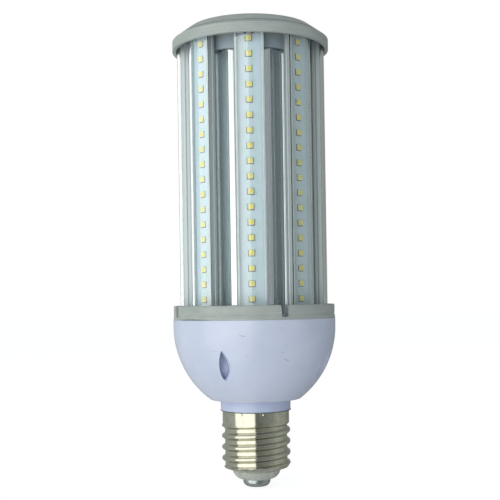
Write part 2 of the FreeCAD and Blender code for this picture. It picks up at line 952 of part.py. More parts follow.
def make_top_cap():
    """The painted cap: rim, cone with a fine groove, flat top, inner sleeve and bosses."""
    body = new_body("top_cap")
    rim_top = cap_rim_bottom + s.cap_rim
    run = s.cap_cone
    flat = cap_radius - run
    groove = cap_radius - s.cap_groove_inset
    rise = cap_top - rim_top
    slope = root(run * run + rise * rise)
    inner_rim_top = rim_top - s.cap_wall * (slope - rise) / run
    inner_flat = cap_inner_rim - run * (cap_inside - inner_rim_top) / rise

    def on_cone(radius, depth):
        """A point of the cone at this radius, moved in by depth."""
        height = rim_top + (cap_radius - radius) * rise / run
        return radius - depth * rise / slope, height - depth * run / slope

    half_groove = s.cap_groove_width / 2
    sketch = new_sketch(body, "XZ_Plane")
    draw(sketch, [
        (cap_inner_rim, cap_rim_bottom),
        (cap_radius, cap_rim_bottom),
        (cap_radius, rim_top),
        on_cone(groove + half_groove, 0),
        on_cone(groove, s.cap_groove_depth),
        on_cone(groove - half_groove, 0),
        (flat, cap_top),
        (0, cap_top),
        (0, cap_inside),
        (inner_flat, cap_inside),
        (cap_inner_rim, inner_rim_top),
    ])
    turn(body, sketch)

    sleeve_bottom = sink_top - s.sleeve_drop
    sketch = new_sketch(body, "XY_Plane", (0, 0, sleeve_bottom))
    draw_circle(sketch, sleeve_outside)
    draw_circle(sketch, sleeve_inside)
    pad(body, sketch, cap_inside - sleeve_bottom + s.cap_wall / 2)

    slot = s.stem_width + 2 * s.sleeve_slot_gap
    middle = (sleeve_inside + sleeve_outside) / 2
    sketch = new_sketch(body, "XY_Plane", (0, 0, sleeve_bottom))
    draw_box(sketch, slot, s.sleeve_wall * 2.5, 0, -middle)
    gap = pocket(body, sketch, slot_top - sleeve_bottom, reversed_way=True)
    around(body, [gap], column_count)

    centre = on_circle(port_circle, s.notch_angle)
    sketch = new_sketch(body, "XY_Plane", (*centre, sink_top))
    draw_circle(sketch, s.cap_boss)
    boss = pad(body, sketch, cap_inside - sink_top + s.cap_wall / 2)
    around(body, [boss], SCREWS)

    sketch = new_sketch(body, "XZ_Plane", (*centre, cap_top))
    head = s.big_head + s.screw_gap
    draw(sketch, [
        (0, 0),
        (0, sink_top - cap_top),
        (big_bore, sink_top - cap_top),
        (big_bore, -s.big_head_depth),
        (head, 0),
    ])
    sunk = turn_away(body, sketch)
    around(body, [sunk], SCREWS)
    return body


# Screws

def make_sunk_screws(label, seat, way):
    """Four countersunk screws at the ports. Way is -1 for screws that point down."""
    body = new_body(label, several_solids=True)
    centre = on_circle(port_circle, s.notch_angle)
    sketch = new_sketch(body, "XZ_Plane", (*centre, seat))
    corners = [
        (0, 0),
        (0, way * s.big_screw_length),
        (s.big_screw, way * s.big_screw_length),
        (s.big_screw, way * s.big_head_depth),
        (s.big_head, 0),
    ]
    draw(sketch, corners if way < 0 else corners[::-1])
    screw = turn(body, sketch)
    recess = cross_recess(body, centre, seat, way > 0)
    around(body, [screw, recess], SCREWS)
    return body


def make_pan_screws(label, circle, seat):
    """Four pan-head screws that point down through a floor or a board."""
    body = new_body(label, several_solids=True)
    centre = on_circle(circle, s.notch_angle)
    top = s.small_head_height
    sketch = new_sketch(body, "XZ_Plane", (*centre, seat))
    draw(sketch, [
        (0, top),
        (0, -s.small_screw_length),
        (s.small_screw, -s.small_screw_length),
        (s.small_screw, 0),
        (s.small_head, 0),
        (s.small_head, top / 2),
        (s.small_head * 0.6, top),
    ])
    screw = turn(body, sketch)
    recess = cross_recess(body, centre, seat + top, False)
    around(body, [screw, recess], SCREWS)
    return body


def cross_recess(body, centre, height, upwards):
    """A cross slot in a screw head at this height."""
    arm, half = s.cross_length / 2, s.cross_width / 2
    sketch = new_sketch(body, "XY_Plane", (*centre, height))
    draw(sketch, [
        (-arm, -half), (-half, -half), (-half, -arm), (half, -arm),
        (half, -half), (arm, -half), (arm, half), (half, half),
        (half, arm), (-half, arm), (-half, half), (-arm, half),
    ])
    return pocket(body, sketch, s.cross_depth, reversed_way=upwards)


# Driver

def make_driver_board():
    """The round circuit board on the housing's posts."""
    body = new_body("driver_board")
    sketch = new_sketch(body, "XY_Plane", (0, 0, driver_bottom))
    draw_circle(sketch, s.driver_radius)
    pad(body, sketch, s.driver_thick)
    sketch = new_sketch(body, "XY_Plane", (*on_circle(post_circle, s.notch_angle), driver_top))
    draw_circle(sketch, small_bore)
    hole = pocket(body, sketch, s.driver_thick)
    around(body, [hole], SCREWS)
    return body


def make_driver_sleeve():
    """The insulating sleeve that stands on the board's edge and hides the driver."""
    body = new_body("driver_sleeve")
    outside = s.driver_radius - s.driver_sleeve_edge
    sketch = new_sketch(body, "XY_Plane", (0, 0, driver_top))
    draw_circle(sketch, outside)
    draw_circle(sketch, outside - s.driver_sleeve_wall)
    pad(body, sketch, hub_bottom - driver_top - s.driver_sleeve_gap)
    return body


def make_transformer_core():
    """The ferrite core: two yokes, two outer legs and a middle leg, padded along Y."""
    body = new_body("transformer_core")
    half = s.core_length / 2
    low, high = s.core_yoke, s.core_height - s.core_yoke
    window = half - s.core_leg / 2 - s.core_yoke
    front = (0, -s.core_back - s.core_depth / 2, driver_top)
    sketch = new_sketch(body, "XZ_Plane", front)
    draw(sketch, [(-half, 0), (half, 0), (half, s.core_height), (-half, s.core_height)])
    for side in (-1, 1):
        middle = side * (s.core_leg / 2 + window / 2)
        draw_box(sketch, window, high - low, middle, (low + high) / 2)
    pad(body, sketch, s.core_depth, reversed_way=True)
    return body


def make_transformer_winding():
    """The taped winding round the core's middle leg, between the two yokes."""
    body = new_body("transformer_winding")
    gap = s.winding_gap
    bottom = driver_top + s.core_yoke + gap
    height = s.core_height - 2 * s.core_yoke - 2 * gap
    hole_x, hole_y = s.core_leg + 2 * gap, s.core_depth + 2 * gap
    outer_x, outer_y = hole_x + 2 * s.winding_wall, hole_y + 2 * s.winding_wall
    sketch = new_sketch(body, "XY_Plane", (0, -s.core_back, bottom))
    draw_box(sketch, outer_x, outer_y)
    draw_box(sketch, hole_x, hole_y)
    pad(body, sketch, height)
    return body


def make_bulk_capacitors():
    """Two standing electrolytic cans with a rolled groove near the foot."""
    body = new_body("bulk_capacitors", several_solids=True)
    radius, height = s.capacitor_radius, s.capacitor_height
    groove = radius * 0.1
    features = []
    for side in (-1, 1):
        sketch = new_sketch(body, "XZ_Plane", (side * radius * 2.15, radius * 2, driver_top))
        draw(sketch, [
            (0, 0),
            (radius, 0),
            (radius, height * 0.12),
            (radius - groove, height * 0.12 + groove),
            (radius, height * 0.12 + 2 * groove),
            (radius, height - groove),
            (radius - groove, height),
            (0, height),
        ])
        features.append(turn(body, sketch))
    return body


def make_choke():
    """The toroidal choke, a wound ring with bevelled edges, lying on a square foot."""
    body = new_body("choke")
    x, y = 4.2 * s.choke_ring, -1.2 * s.choke_ring
    width = 2 * s.choke_ring
    sketch = new_sketch(body, "XY_Plane", (x, y, driver_top))
    draw_box(sketch, width, width)
    pad(body, sketch, s.choke_foot)

    half, bevel = s.choke_wire, s.choke_wire * 0.59
    bottom = driver_top + s.choke_foot / 2
    sketch = new_sketch(body, "XZ_Plane", (x, y, bottom + half))
    draw(sketch, [
        (s.choke_ring - half + bevel, -half),
        (s.choke_ring + half - bevel, -half),
        (s.choke_ring + half, -half + bevel),
        (s.choke_ring + half, half - bevel),
        (s.choke_ring + half - bevel, half),
        (s.choke_ring - half + bevel, half),
        (s.choke_ring - half, half - bevel),
        (s.choke_ring - half, -half + bevel),
    ])
    turn(body, sketch)
    return body


def fuse(label, parts):
    """Joins primitives to one piece."""
    made = document.addObject("Part::MultiFuse", label)
    made.Label = label
    made.Shapes = parts
    return made


def make_small_parts():
    """The other parts on the driver board."""
    film_x = -s.capacitor_radius * 3.3
    film = block(
        "film_capacitor", s.film_width, s.film_length, s.film_height, film_x, length(-1), driver_top
    )
    bridge_y = s.capacitor_radius * 2.9
    bridge = block(
        "bridge_rectifier", s.bridge_length, s.bridge_width, s.bridge_height,
        length(0), bridge_y, driver_top,
    )
    switch_y = -s.core_back - s.core_depth - s.winding_wall
    switch_body = block(
        "switch_body", s.switch_width, s.switch_thick, s.switch_height,
        length(0), switch_y, driver_top,
    )
    tab_y = switch_y - s.switch_thick / 2 + s.tab_thick / 2
    tab = block(
        "switch_tab", s.switch_width, s.tab_thick, s.tab_height, length(0), tab_y, driver_top
    )
    chip = block(
        "controller_chip", s.chip_length, s.chip_width, s.chip_height,
        s.core_length * 0.55, switch_y + 4, driver_top,
    )
    return [film, bridge, fuse("power_switch", [switch_body, tab]), chip]


def lying_cylinder(label, radius, size, x, y, z, axis):
    """A cylinder centred on x, y and z that lies along the axis given."""
    made = document.addObject("Part::Cylinder", label)
    made.Label = label
    made.setExpression("Radius", length(radius).formula)
    made.setExpression("Height", length(size).formula)
    made.Placement = Placement(Vector(0, 0, 0), Rotation(Vector(0, 0, 1), axis))
    back = length(size) / 2
    place(made, x - back * axis.x, y - back * axis.y, z)
    return made


def make_fuse_link():
    """The glass fuse with its two metal end caps."""
    y = s.capacitor_radius * 3.9
    z = driver_top + s.fuse_radius + s.lead_gap
    along = Vector(1, 0, 0)
    glass = lying_cylinder("fuse_glass", s.fuse_radius * 0.88, s.fuse_length, 0, y, z, along)
    parts = [glass]
    for side in (-1, 1):
        x = side * (s.fuse_length - s.fuse_cap) / 2
        parts.append(lying_cylinder("fuse_end", s.fuse_radius, s.fuse_cap, x, y, z, along))
    return fuse("mains_fuse", parts)


def make_varistor():
    """The surge varistor, a disc that stands on its edge."""
    x = -s.core_length / 2 - s.disc_thick / 2
    y = -s.core_back - s.core_depth - 2
    z = driver_top + s.disc_radius + s.lead_gap
    return lying_cylinder("varistor", s.disc_radius, s.disc_thick, x, y, z, Vector(0, 1, 0))


# Leads

def lead_shape(points, radius, bend):
    """A round wire along straight runs that tangent arcs join."""
    edges = []
    start = points[0]
    for before, corner, after in zip(points, points[1:], points[2:]):
        incoming = (corner - before).normalize()
        outgoing = (after - corner).normalize()
        half_turn = incoming.getAngle(outgoing) / 2
        reach = bend * math.tan(half_turn)
        arc_start = corner - incoming * reach
        arc_end = corner + outgoing * reach
        inwards = (outgoing - incoming).normalize()
        middle = corner + inwards * (bend / math.cos(half_turn) - bend)
        edges.append(Part.LineSegment(start, arc_start).toShape())
        edges.append(Part.Arc(arc_start, middle, arc_end).toShape())
        start = arc_end
    edges.append(Part.LineSegment(start, points[-1]).toShape())
    path = Part.Wire(edges)
    section = Part.Wire(Part.Circle(points[0], points[1] - points[0], radius).toShape())
    wire = path.makePipeShell([section], True, True)
    expected = math.pi * radius ** 2 * path.Length
    if abs(wire.Volume - expected) > expected * 0.01:
        raise ValueError("a lead's volume does not match its length")
    return wire


def new_lead(label, shapes, placement=None):
    """A node for one lead or a group of leads."""
    made = document.addObject("Part::Feature", label)
    made.Label = label
    made.Shape = shapes[0] if len(shapes) == 1 else Part.makeCompound(shapes)
    made.Placement = placement or Placement()
    return made


def make_mains_leads():
    """The live lead to the contact's stem and the neutral lead to the shell's wall."""
    radius = s.mains_lead.value
    board = driver_bottom.value
    neck = s.neck_height.value
    side, back = s.mains_side.value, s.mains_back.value
    weld = -(s.collar_length + s.neutral_drop).value
    stem = (insulator_end + s.contact_stem_length).value
    wall = (shell_bore - s.mains_lead - s.lead_gap).value
    live = [
        Vector(side, back, board),
        Vector(side, back, neck),
        Vector(0, 0, shell_end.value / 2),
        Vector(0, 0, stem),
    ]
    neutral = [
        Vector(-side, back, board),
        Vector(-side, back, neck),
        Vector(-wall, 0, weld),
        Vector(-wall, 0, weld - s.neutral_weld.value),
    ]
    return [
        new_lead("live_lead", [lead_shape(live, radius, s.live_bend.value)]),
        new_lead("neutral_lead", [lead_shape(neutral, radius, s.neutral_bend.value)]),
    ]


def make_supply_leads():
    """The two leads that climb inside the core and bend over to the first board."""
    radius = s.supply_lead.value
    gap = s.lead_gap.value
    over = sink_top.value + radius + 2 * gap
    face = board_front.value + radius + gap
    top_led = (sink_bottom + s.led_first + s.led_pitch * (led_count - 1) + s.led_height / 2).value
    leads = []
    for label, side in (("supply_lead_plus", 1), ("supply_lead_minus", -1)):
        x = side * (s.stem_width.value / 2 - radius + 2 * gap)
        back = s.supply_back.value
        points = [
            Vector(x, back, driver_top.value),
            Vector(x, back, over),
            Vector(x, -face, over),
            Vector(x, -face, top_led + s.supply_foot.value),
        ]
        leads.append(new_lead(label, [lead_shape(points, radius, s.supply_bend.value)]))
    return leads


def make_board_jumpers():
    """Short leads that hop from each board to the next one under the cap."""
    radius = s.jumper_lead.value
    gap = s.lead_gap.value
    over = sink_top.value + 3 * radius
    face = board_front.value + radius + gap
    side = (lip_inside - s.cover_leg - s.jumper_side_gap).value - radius
    foot = (sink_top - s.board_end_gap - s.jumper_foot).value
    shapes = []
    for index in range(column_count - 1):
        here, there = column_turn(index), column_turn(index + 1)
        points = [
            here.multVec(Vector(side, -face, foot)),
            here.multVec(Vector(side, -face, over)),
            there.multVec(Vector(-side, -face, over)),
            there.multVec(Vector(-side, -face, foot)),
        ]
        shapes.append(lead_shape(points, radius, s.jumper_bend.value))
    return new_lead("board_jumpers", shapes)


def make_lamp():
    """Every piece of the lamp, from the contact up to the cap."""
    pieces = [
        make_centre_contact(),
        make_base_insulator(),
        make_screw_shell(),
        make_housing(),
        make_bottom_ring(),
        make_heat_sink(),
        make_top_cap(),
        make_sunk_screws("cap_screws", cap_top, -1),
        make_sunk_screws("ring_screws", hub_bottom, 1),
        make_pan_screws("housing_screws", boss_circle, ring_floor_top),
        make_pan_screws("driver_screws", post_circle, driver_top),
        make_driver_board(),
        make_driver_sleeve(),
        make_transformer_core(),
        make_transformer_winding(),
        make_bulk_capacitors(),
        make_choke(),
        make_fuse_link(),
        make_varistor(),
        *make_small_parts(),
        *make_mains_leads(),
        *make_supply_leads(),
        make_board_jumpers(),
    ]
    for index in range(column_count):
        pieces.append(make_led_board(index))
        pieces.append(make_led_row(index))
        pieces.append(make_clear_cover(index))
    return pieces


def check(pieces):
    """Stops if an object failed, a cut took nothing away, or a piece isn't a sound solid."""
    for item in document.Objects:
        if "Invalid" in item.State or "Error" in item.State:
            raise ValueError(f"{item.Label} failed")
        if item.TypeId in ("PartDesign::Pocket", "PartDesign::Groove"):
            if item.BaseFeature.Shape.Volume - item.Shape.Volume < 1e-6:
                raise ValueError(f"{item.Label} cuts nothing")
    for piece in pieces:
        if piece.Shape.isNull() or not piece.Shape.isValid() or not piece.Shape.Solids:
            raise ValueError(f"{piece.Label} has no sound solid")


lamp = make_lamp()
document.recompute()
check(lamp)
os.makedirs("parts", exist_ok=True)
for piece in lamp:
    piece.Shape.exportStep(f"parts/{piece.Label}.step")
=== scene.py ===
import json
import math
import random

import bmesh
import bpy
from mathutils import Matrix, Quaternion, Vector


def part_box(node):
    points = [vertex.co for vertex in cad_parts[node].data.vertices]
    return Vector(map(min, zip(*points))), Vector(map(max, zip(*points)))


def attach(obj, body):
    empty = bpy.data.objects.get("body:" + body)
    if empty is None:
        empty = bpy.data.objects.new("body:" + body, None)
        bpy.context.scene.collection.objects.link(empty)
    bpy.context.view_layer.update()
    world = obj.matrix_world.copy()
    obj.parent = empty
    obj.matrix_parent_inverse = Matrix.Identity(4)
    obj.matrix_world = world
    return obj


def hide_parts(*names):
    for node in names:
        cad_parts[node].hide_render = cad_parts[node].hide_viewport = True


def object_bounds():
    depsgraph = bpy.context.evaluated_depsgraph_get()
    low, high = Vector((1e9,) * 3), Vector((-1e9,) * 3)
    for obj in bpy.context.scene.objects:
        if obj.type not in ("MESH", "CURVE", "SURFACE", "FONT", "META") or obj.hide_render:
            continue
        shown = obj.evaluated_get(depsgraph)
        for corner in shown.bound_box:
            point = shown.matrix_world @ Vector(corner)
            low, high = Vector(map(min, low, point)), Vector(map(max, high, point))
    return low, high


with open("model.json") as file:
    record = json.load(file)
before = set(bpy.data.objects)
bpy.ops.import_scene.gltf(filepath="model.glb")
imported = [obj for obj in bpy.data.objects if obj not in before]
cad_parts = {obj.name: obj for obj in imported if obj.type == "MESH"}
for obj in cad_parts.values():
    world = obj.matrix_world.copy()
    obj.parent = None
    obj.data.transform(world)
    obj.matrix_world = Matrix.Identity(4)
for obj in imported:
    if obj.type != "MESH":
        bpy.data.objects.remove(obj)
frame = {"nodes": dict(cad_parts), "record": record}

# Corn LED lamp with eight LED columns round an aluminium core, on an E40 screw base.
# Pieces are drawn in millimetres and scaled to metres when they are made.
# The lamp's axis is Z, and column 1 faces -Y. Angles round the axis start at -Y and grow towards +X.

MM = 0.001
cad_low, cad_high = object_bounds()
sink_low, sink_high = (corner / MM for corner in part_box("heat_sink"))

# Sizes in millimetres and angles in degrees

COLUMNS = 8
VENTS = 4

# Screw shell, measured down from its collar's edge
COLLAR_RADIUS = 19.2
COLLAR_LENGTH = 8.1
SHELL_LENGTH = 34.8
SHELL_WALL = 0.6
SHELL_MOUTH = 13.8
SHELL_CORNER = 18.4
SHELL_TURN_IN = 1.8
SHELL_TAPER = 4.0
THREAD_CREST = 19.7
THREAD_ROOT = 17.95
THREAD_PITCH = 6.35
THREAD_FIRST = 11.9

# Half of the thread's flat root, and a flank, as shares of the pitch
ROOT_FLAT = 0.13
FLANK = 0.3

# Punch marks in the collar
DENT_DROP = 1.5
DENT_RADIUS = 1.0
DENT_DEPTH = 0.42
DENT_COUNT = 10
DENT_ANGLE = 11.4

GASKET_INNER = 19.25
GASKET_OUTER = 20.3
GASKET_LOW = -0.5
GASKET_HIGH = -0.05
GASKET_CHAMFER = 0.2

# Housing. Its bowl follows an arc of radius BOWL_CURVE, whose middle lies at BOWL_CENTRE's
# height and a little past the axis.
NECK_TOP = 6.4
HOUSING_FLOOR = 17.0
HOUSING_WALL = 2.5
BOWL_CENTRE = 47.7
BOWL_CURVE = 52.33
BOWL_MIDDLE = -5.78
VENT_ANGLE = 18.9
VENT_TILT = 22.9

# A dark strip that paints the shadow in the gap between housing and ring on the left
SEAM_HEIGHT = 52.2
SEAM_RADIUS = 46.41
SEAM_PROUD = 0.07
SEAM_START = -60.0
SEAM_SWEEP = 31.0
SEAM_TALL = 0.42

# Cap with a ring-shaped groove, sleeve under it, and the heat sink's outer plates
CAP_BOTTOM = 207.25
CAP_GROOVE = 42.2
GROOVE_HALF = 0.35
SLEEVE_EDGE = 34.0
PLATES_START = 35.0

# LED columns. Back, front, apex and edge are distances from the axis.
BOARD_HALF = 6.9
BOARD_BACK = 36.4
BOARD_FRONT = 37.3
BOARD_END_GAP = 0.5
LED_WIDTH = 3.1
LED_HEIGHT = 3.1
LED_THICK = 0.8
LED_RIM = 0.42
LED_WELL = 0.12
LED_PITCH = 8.27
LED_COUNT = 18
LED_FIRST = 9.8
COVER_APEX = 42.3
COVER_EDGE = 39.35
COVER_HALF = 8.25
COVER_WALL = 1.0


# Colours, nodes and materials

def srgb(code):
    """The linear colour, with alpha, of an sRGB hex value."""
    parts = [int(code[i:i + 2], 16) / 255 for i in (1, 3, 5)]
    linear = [p / 12.92 if p <= 0.04045 else ((p + 0.055) / 1.055) ** 2.4 for p in parts]
    return (*linear, 1.0)


def add(tree, kind, inputs=None, **settings):
    """Adds a node. An input that is another node's socket is linked, and any other is set."""
    node = tree.nodes.new(kind)
    for name, value in settings.items():
        setattr(node, name, value)
    for key, value in (inputs or {}).items():
        if isinstance(value, bpy.types.NodeSocket):
            tree.links.new(value, node.inputs[key])
        else:
            node.inputs[key].default_value = value
    return node


def per_mm(size):
    """A texture scale whose features are this many millimetres across."""
    return 1 / (size * MM)


# Sockets of a colour Mix node, which has one set for each kind of value
MIX_A, MIX_B, MIX_RESULT = 6, 7, 2


def new_material(name, **sockets):
    """A material with one Principled shader. Sockets that stay the same all over are set here."""
    material = bpy.data.materials.new(name)
    material.use_nodes = True
    tree = material.node_tree
    tree.nodes.clear()
    named = {key.replace("_", " "): value for key, value in sockets.items()}
    shader = add(tree, "ShaderNodeBsdfPrincipled", named)
    add(tree, "ShaderNodeOutputMaterial", {"Surface": shader.outputs["BSDF"]})
    point = add(tree, "ShaderNodeTexCoord").outputs["Object"]
    return material, tree, shader, point


def noise(tree, point, size, stretch=(1, 1, 1), detail=3.0, roughness=0.55):
    """Cloudy noise with features of this size in millimetres, stretched along the axes."""
    scale = [per_mm(size) / part for part in stretch]
    moved = add(tree, "ShaderNodeMapping", {"Vector": point, "Scale": scale})
    texture = add(
        tree, "ShaderNodeTexNoise",
        {"Vector": moved.outputs[0], "Scale": 1.0, "Detail": detail, "Roughness": roughness},
    )
    return texture.outputs["Fac"]


def spread(tree, value, low, high, start=0.35, end=0.65):
    """The value stretched from start and end to low and high."""
    node = add(
        tree, "ShaderNodeMapRange",
        {"Value": value, "From Min": start, "From Max": end, "To Min": low, "To Max": high},
    )
    return node.outputs["Result"]


def border(tree, value, place, soft, below, above):
    """One level below a place in millimetres and another above it, with a soft border between."""
    return spread(tree, value, below, above, (place - soft) * MM, (place + soft) * MM)


def product(tree, first, second):
    """The product of two sockets."""
    return add(tree, "ShaderNodeMath", {0: first, 1: second}, operation="MULTIPLY").outputs[0]


def blend(tree, share, first, second):
    """Two colours, or a colour and a socket, mixed by a share."""
    node = add(
        tree, "ShaderNodeMix", {0: share, MIX_A: first, MIX_B: second}, data_type="RGBA"
    )
    return node.outputs[MIX_RESULT]


def relief(tree, shader, height, depth, strength=1.0, under=None):
    """Bump of this depth in millimetres from a height."""
    inputs = {"Height": height, "Distance": depth * MM, "Strength": strength}
    if under is not None:
        inputs["Normal"] = under
    node = add(tree, "ShaderNodeBump", inputs)
    tree.links.new(node.outputs["Normal"], shader.inputs["Normal"])
    return node.outputs["Normal"]


def from_axis(tree, point):
    """How far each point lies from the lamp's axis, in metres."""
    flat = add(tree, "ShaderNodeVectorMath", {0: point, 1: (1, 1, 0)}, operation="MULTIPLY")
    return add(
        tree, "ShaderNodeVectorMath", {0: flat.outputs[0]}, operation="LENGTH"
    ).outputs["Value"]


def height_of(tree, point):
    """How high each point lies above the origin, in metres."""
    return add(tree, "ShaderNodeSeparateXYZ", {0: point}).outputs["Z"]


def from_bowl_middle(tree, point):
    """How far each point lies from the middle of the arc that the bowl follows."""
    out = add(tree, "ShaderNodeMath", {0: from_axis(tree, point), 1: -BOWL_MIDDLE * MM})
    up = add(
        tree, "ShaderNodeMath", {0: height_of(tree, point), 1: BOWL_CENTRE * MM},
        operation="SUBTRACT",
    )
    flat = add(tree, "ShaderNodeCombineXYZ", {0: out.outputs[0], 2: up.outputs[0]})
    return add(
        tree, "ShaderNodeVectorMath", {0: flat.outputs[0]}, operation="LENGTH"
    ).outputs["Value"]


def scuff(tree, point, centre, turn, tilt, size):
    """A soft-edged mark at a point, with its angle round the axis, its slant and half sizes."""
    local = add(
        tree, "ShaderNodeMapping",
        {"Vector": point, "Location": [part * MM for part in centre],
         "Rotation": (0, math.radians(tilt), math.radians(turn)),
         "Scale": [part * MM for part in size]},
        vector_type="TEXTURE",
    )
    away = add(tree, "ShaderNodeVectorMath", {0: local.outputs[0]}, operation="LENGTH")
    return spread(tree, away.outputs["Value"], 1, 0, 0.4, 1.0)


def link(tree, socket, shader, name):
    """Feeds one socket of the shader."""
    tree.links.new(socket, shader.inputs[name])


def rolled_nickel_plate():
    """Brass sheet, rolled to a thread and nickel plated: a warm mirror with faint rolling
    lines, a little haze and small stains that break up its reflections. The lines are drawn
    coarser than they are, so that they show."""
    material, tree, shader, point = new_material("rolled_nickel_plate", Metallic=1.0)
    lines = noise(tree, point, 0.35, (60, 60, 1), 2.0)
    stains = noise(tree, point, 4.0, (1, 1, 0.6), 5.0, 0.65)
    colour = blend(tree, spread(tree, stains, 0, 1), srgb("#CDCCBF"), srgb("#BEBCAB"))
    link(tree, colour, shader, "Base Color")
    haze = product(tree, lines, stains)
    link(tree, spread(tree, haze, 0.08, 0.17, 0.1, 0.4), shader, "Roughness")
    relief(tree, shader, lines, 0.01, 0.35)
    return material


def soldered_contact():
    """Nickel plated brass with a skin of solder: bluish, uneven and softly shining."""
    material, tree, shader, point = new_material("soldered_contact", Metallic=1.0)
    lumps = noise(tree, point, 2.6, detail=2.0)
    patina = noise(tree, point, 0.9, detail=4.0)
    colour = blend(tree, spread(tree, patina, 0, 1), srgb("#BCC4C4"), srgb("#A2AAAB"))
    link(tree, colour, shader, "Base Color")
    link(tree, spread(tree, patina, 0.22, 0.36), shader, "Roughness")
    relief(tree, shader, lumps, 0.15, 0.4)
    return material


def fired_insulator():
    """Fired insulator with a thin dull glaze: grey-green with dark and pale specks."""
    material, tree, shader, point = new_material("fired_insulator", IOR=1.52)
    clouds = noise(tree, point, 3.5, detail=3.0)
    specks = noise(tree, point, 0.7, detail=2.0)
    colour = blend(tree, spread(tree, clouds, 0, 1), srgb("#CBD0C8"), srgb("#B4BBB2"))
    colour = blend(tree, spread(tree, specks, 0, 0.75, 0.56, 0.7), colour, srgb("#8A918B"))
    colour = blend(tree, spread(tree, specks, 0.6, 0, 0.3, 0.42), colour, srgb("#E8ECE8"))
    link(tree, colour, shader, "Base Color")
    link(tree, spread(tree, clouds, 0.28, 0.5), shader, "Roughness")
    rings = noise(tree, point, 0.6, (60, 60, 1), 1.0)
    relief(tree, shader, rings, 0.08, 0.6, relief(tree, shader, specks, 0.06, 0.6))
    return material


# Centre, angle round the axis, slant and half sizes in millimetres of each scuff on the housing
SCUFFS = (
    ((-5.4, -46.2, 43.8), -7.0, 12.0, (2.3, 4.0, 0.22)),
    ((18.1, -40.3, 30.4), 24.0, 24.0, (2.8, 4.0, 0.22)),
    ((-3.4, -46.0, 33.5), -4.0, -30.0, (1.2, 4.0, 0.16)),
)


def gloss_white_housing():
    """ABS moulded in a polished tool: cool white, glossy and a little translucent, with a very slight
    waviness, scratches and grey scuffs. The scratches are drawn wider than they are, so that they
    show. Inside the vents the walls are painted darker violet deeper in, a painted shade, and glow
    faintly violet, a painted glow for the light that comes through the plastic. The neck under the
    bowl is painted a little darker and bluer, a painted shade."""
    material, tree, shader, point = new_material(
        "gloss_white_housing", IOR=1.53, Subsurface_Weight=0.2,
        Subsurface_Radius=(0.8, 0.8, 1.0), Subsurface_Scale=0.002, Emission_Strength=1.0,
    )
    clouds = noise(tree, point, 22.0, detail=2.0)
    colour = blend(tree, spread(tree, clouds, 0, 1), srgb("#D2DAEE"), srgb("#CAD3E8"))
    scratches = noise(tree, point, 0.5, (14, 14, 1), 3.0)
    patches = noise(tree, point, 9.0, detail=3.0)
    scratched = product(
        tree, spread(tree, scratches, 0, 1, 0.62, 0.72), spread(tree, patches, 0, 1, 0.5, 0.65)
    )
    colour = blend(tree, scratched, colour, srgb("#B4BFD0"))
    for centre, turn, tilt, size in SCUFFS:
        mark = scuff(tree, point, centre, turn, tilt, size)
        colour = blend(tree, mark, colour, srgb("#94A0B8"))
    height = height_of(tree, point)
    above_floor = border(tree, height, HOUSING_FLOOR, 1.0, 0, 1)
    from_middle = from_bowl_middle(tree, point)
    # Vent walls: painted shade deeper into the wall, and a faint violet painted glow for light
    # through the plastic
    shade_depth, shade_soft = 1.75, 0.55
    glow_depth, glow_soft = 0.775, 0.525
    vent_painted_shade = border(tree, from_middle, BOWL_CURVE - shade_depth, shade_soft, 1, 0)
    colour = blend(tree, product(tree, vent_painted_shade, above_floor), colour, srgb("#7782AA"))
    glowing = border(tree, from_middle, BOWL_CURVE - glow_depth, glow_soft, 1, 0)
    glow = blend(tree, product(tree, glowing, above_floor), srgb("#000000"), srgb("#2B2F3A"))
    link(tree, glow, shader, "Emission Color")
    # The neck under the bowl is painted darker and bluer: painted shade from the bowl's overhang
    neck = border(tree, height, NECK_TOP, 0.2, 1, 0)
    colour = blend(tree, neck, colour, srgb("#C1CBE6"))
    link(tree, colour, shader, "Base Color")
    link(tree, spread(tree, patches, 0.16, 0.24), shader, "Roughness")
    relief(tree, shader, clouds, 0.08, 0.25)
    return material


def satin_grey_paint():
    """Sprayed satin paint on a moulding: grey with a green cast and a fine orange peel. The groove in
    the cap is painted darker, a painted shade, and the sleeve under the cap is painted a little
    bluer, a painted shade."""
    material, tree, shader, point = new_material("satin_grey_paint", IOR=1.48)
    peel = noise(tree, point, 0.55, detail=2.0)
    clouds = noise(tree, point, 9.0, (1, 1, 0.4), 4.0)
    lines = noise(tree, point, 0.8, (50, 50, 1), 2.0)
    colour = blend(tree, spread(tree, clouds, 0, 1), srgb("#B3BCB8"), srgb("#A8B1AD"))
    colour = blend(tree, spread(tree, lines, 0, 0.35), colour, srgb("#98A29E"))
    away = from_axis(tree, point)
    height = height_of(tree, point)
    from_groove = add(tree, "ShaderNodeMath", {0: away, 1: CAP_GROOVE * MM}, operation="SUBTRACT")
    from_groove = add(tree, "ShaderNodeMath", {0: from_groove.outputs[0]}, operation="ABSOLUTE")
    # Painted shade in the groove on the cap
    groove_shade_mask = border(tree, from_groove.outputs[0], GROOVE_HALF, 0.1, 1, 0)
    on_cap = border(tree, height, CAP_BOTTOM, 0.25, 0, 1)
    colour = blend(tree, product(tree, groove_shade_mask, on_cap), colour, srgb("#6E7875"))
    # Painted shade on the sleeve under the cap's rim
    sleeve_shade_mask = border(tree, away, SLEEVE_EDGE, 0.5, 1, 0)
    under_cap = border(tree, height, CAP_BOTTOM, 0.25, 1, 0)
    colour = blend(tree, product(tree, sleeve_shade_mask, under_cap), colour, srgb("#A9B8C2"))
    link(tree, colour, shader, "Base Color")
    link(tree, spread(tree, clouds, 0.34, 0.5), shader, "Roughness")
    relief(tree, shader, peel, 0.03, 0.5)
    return material


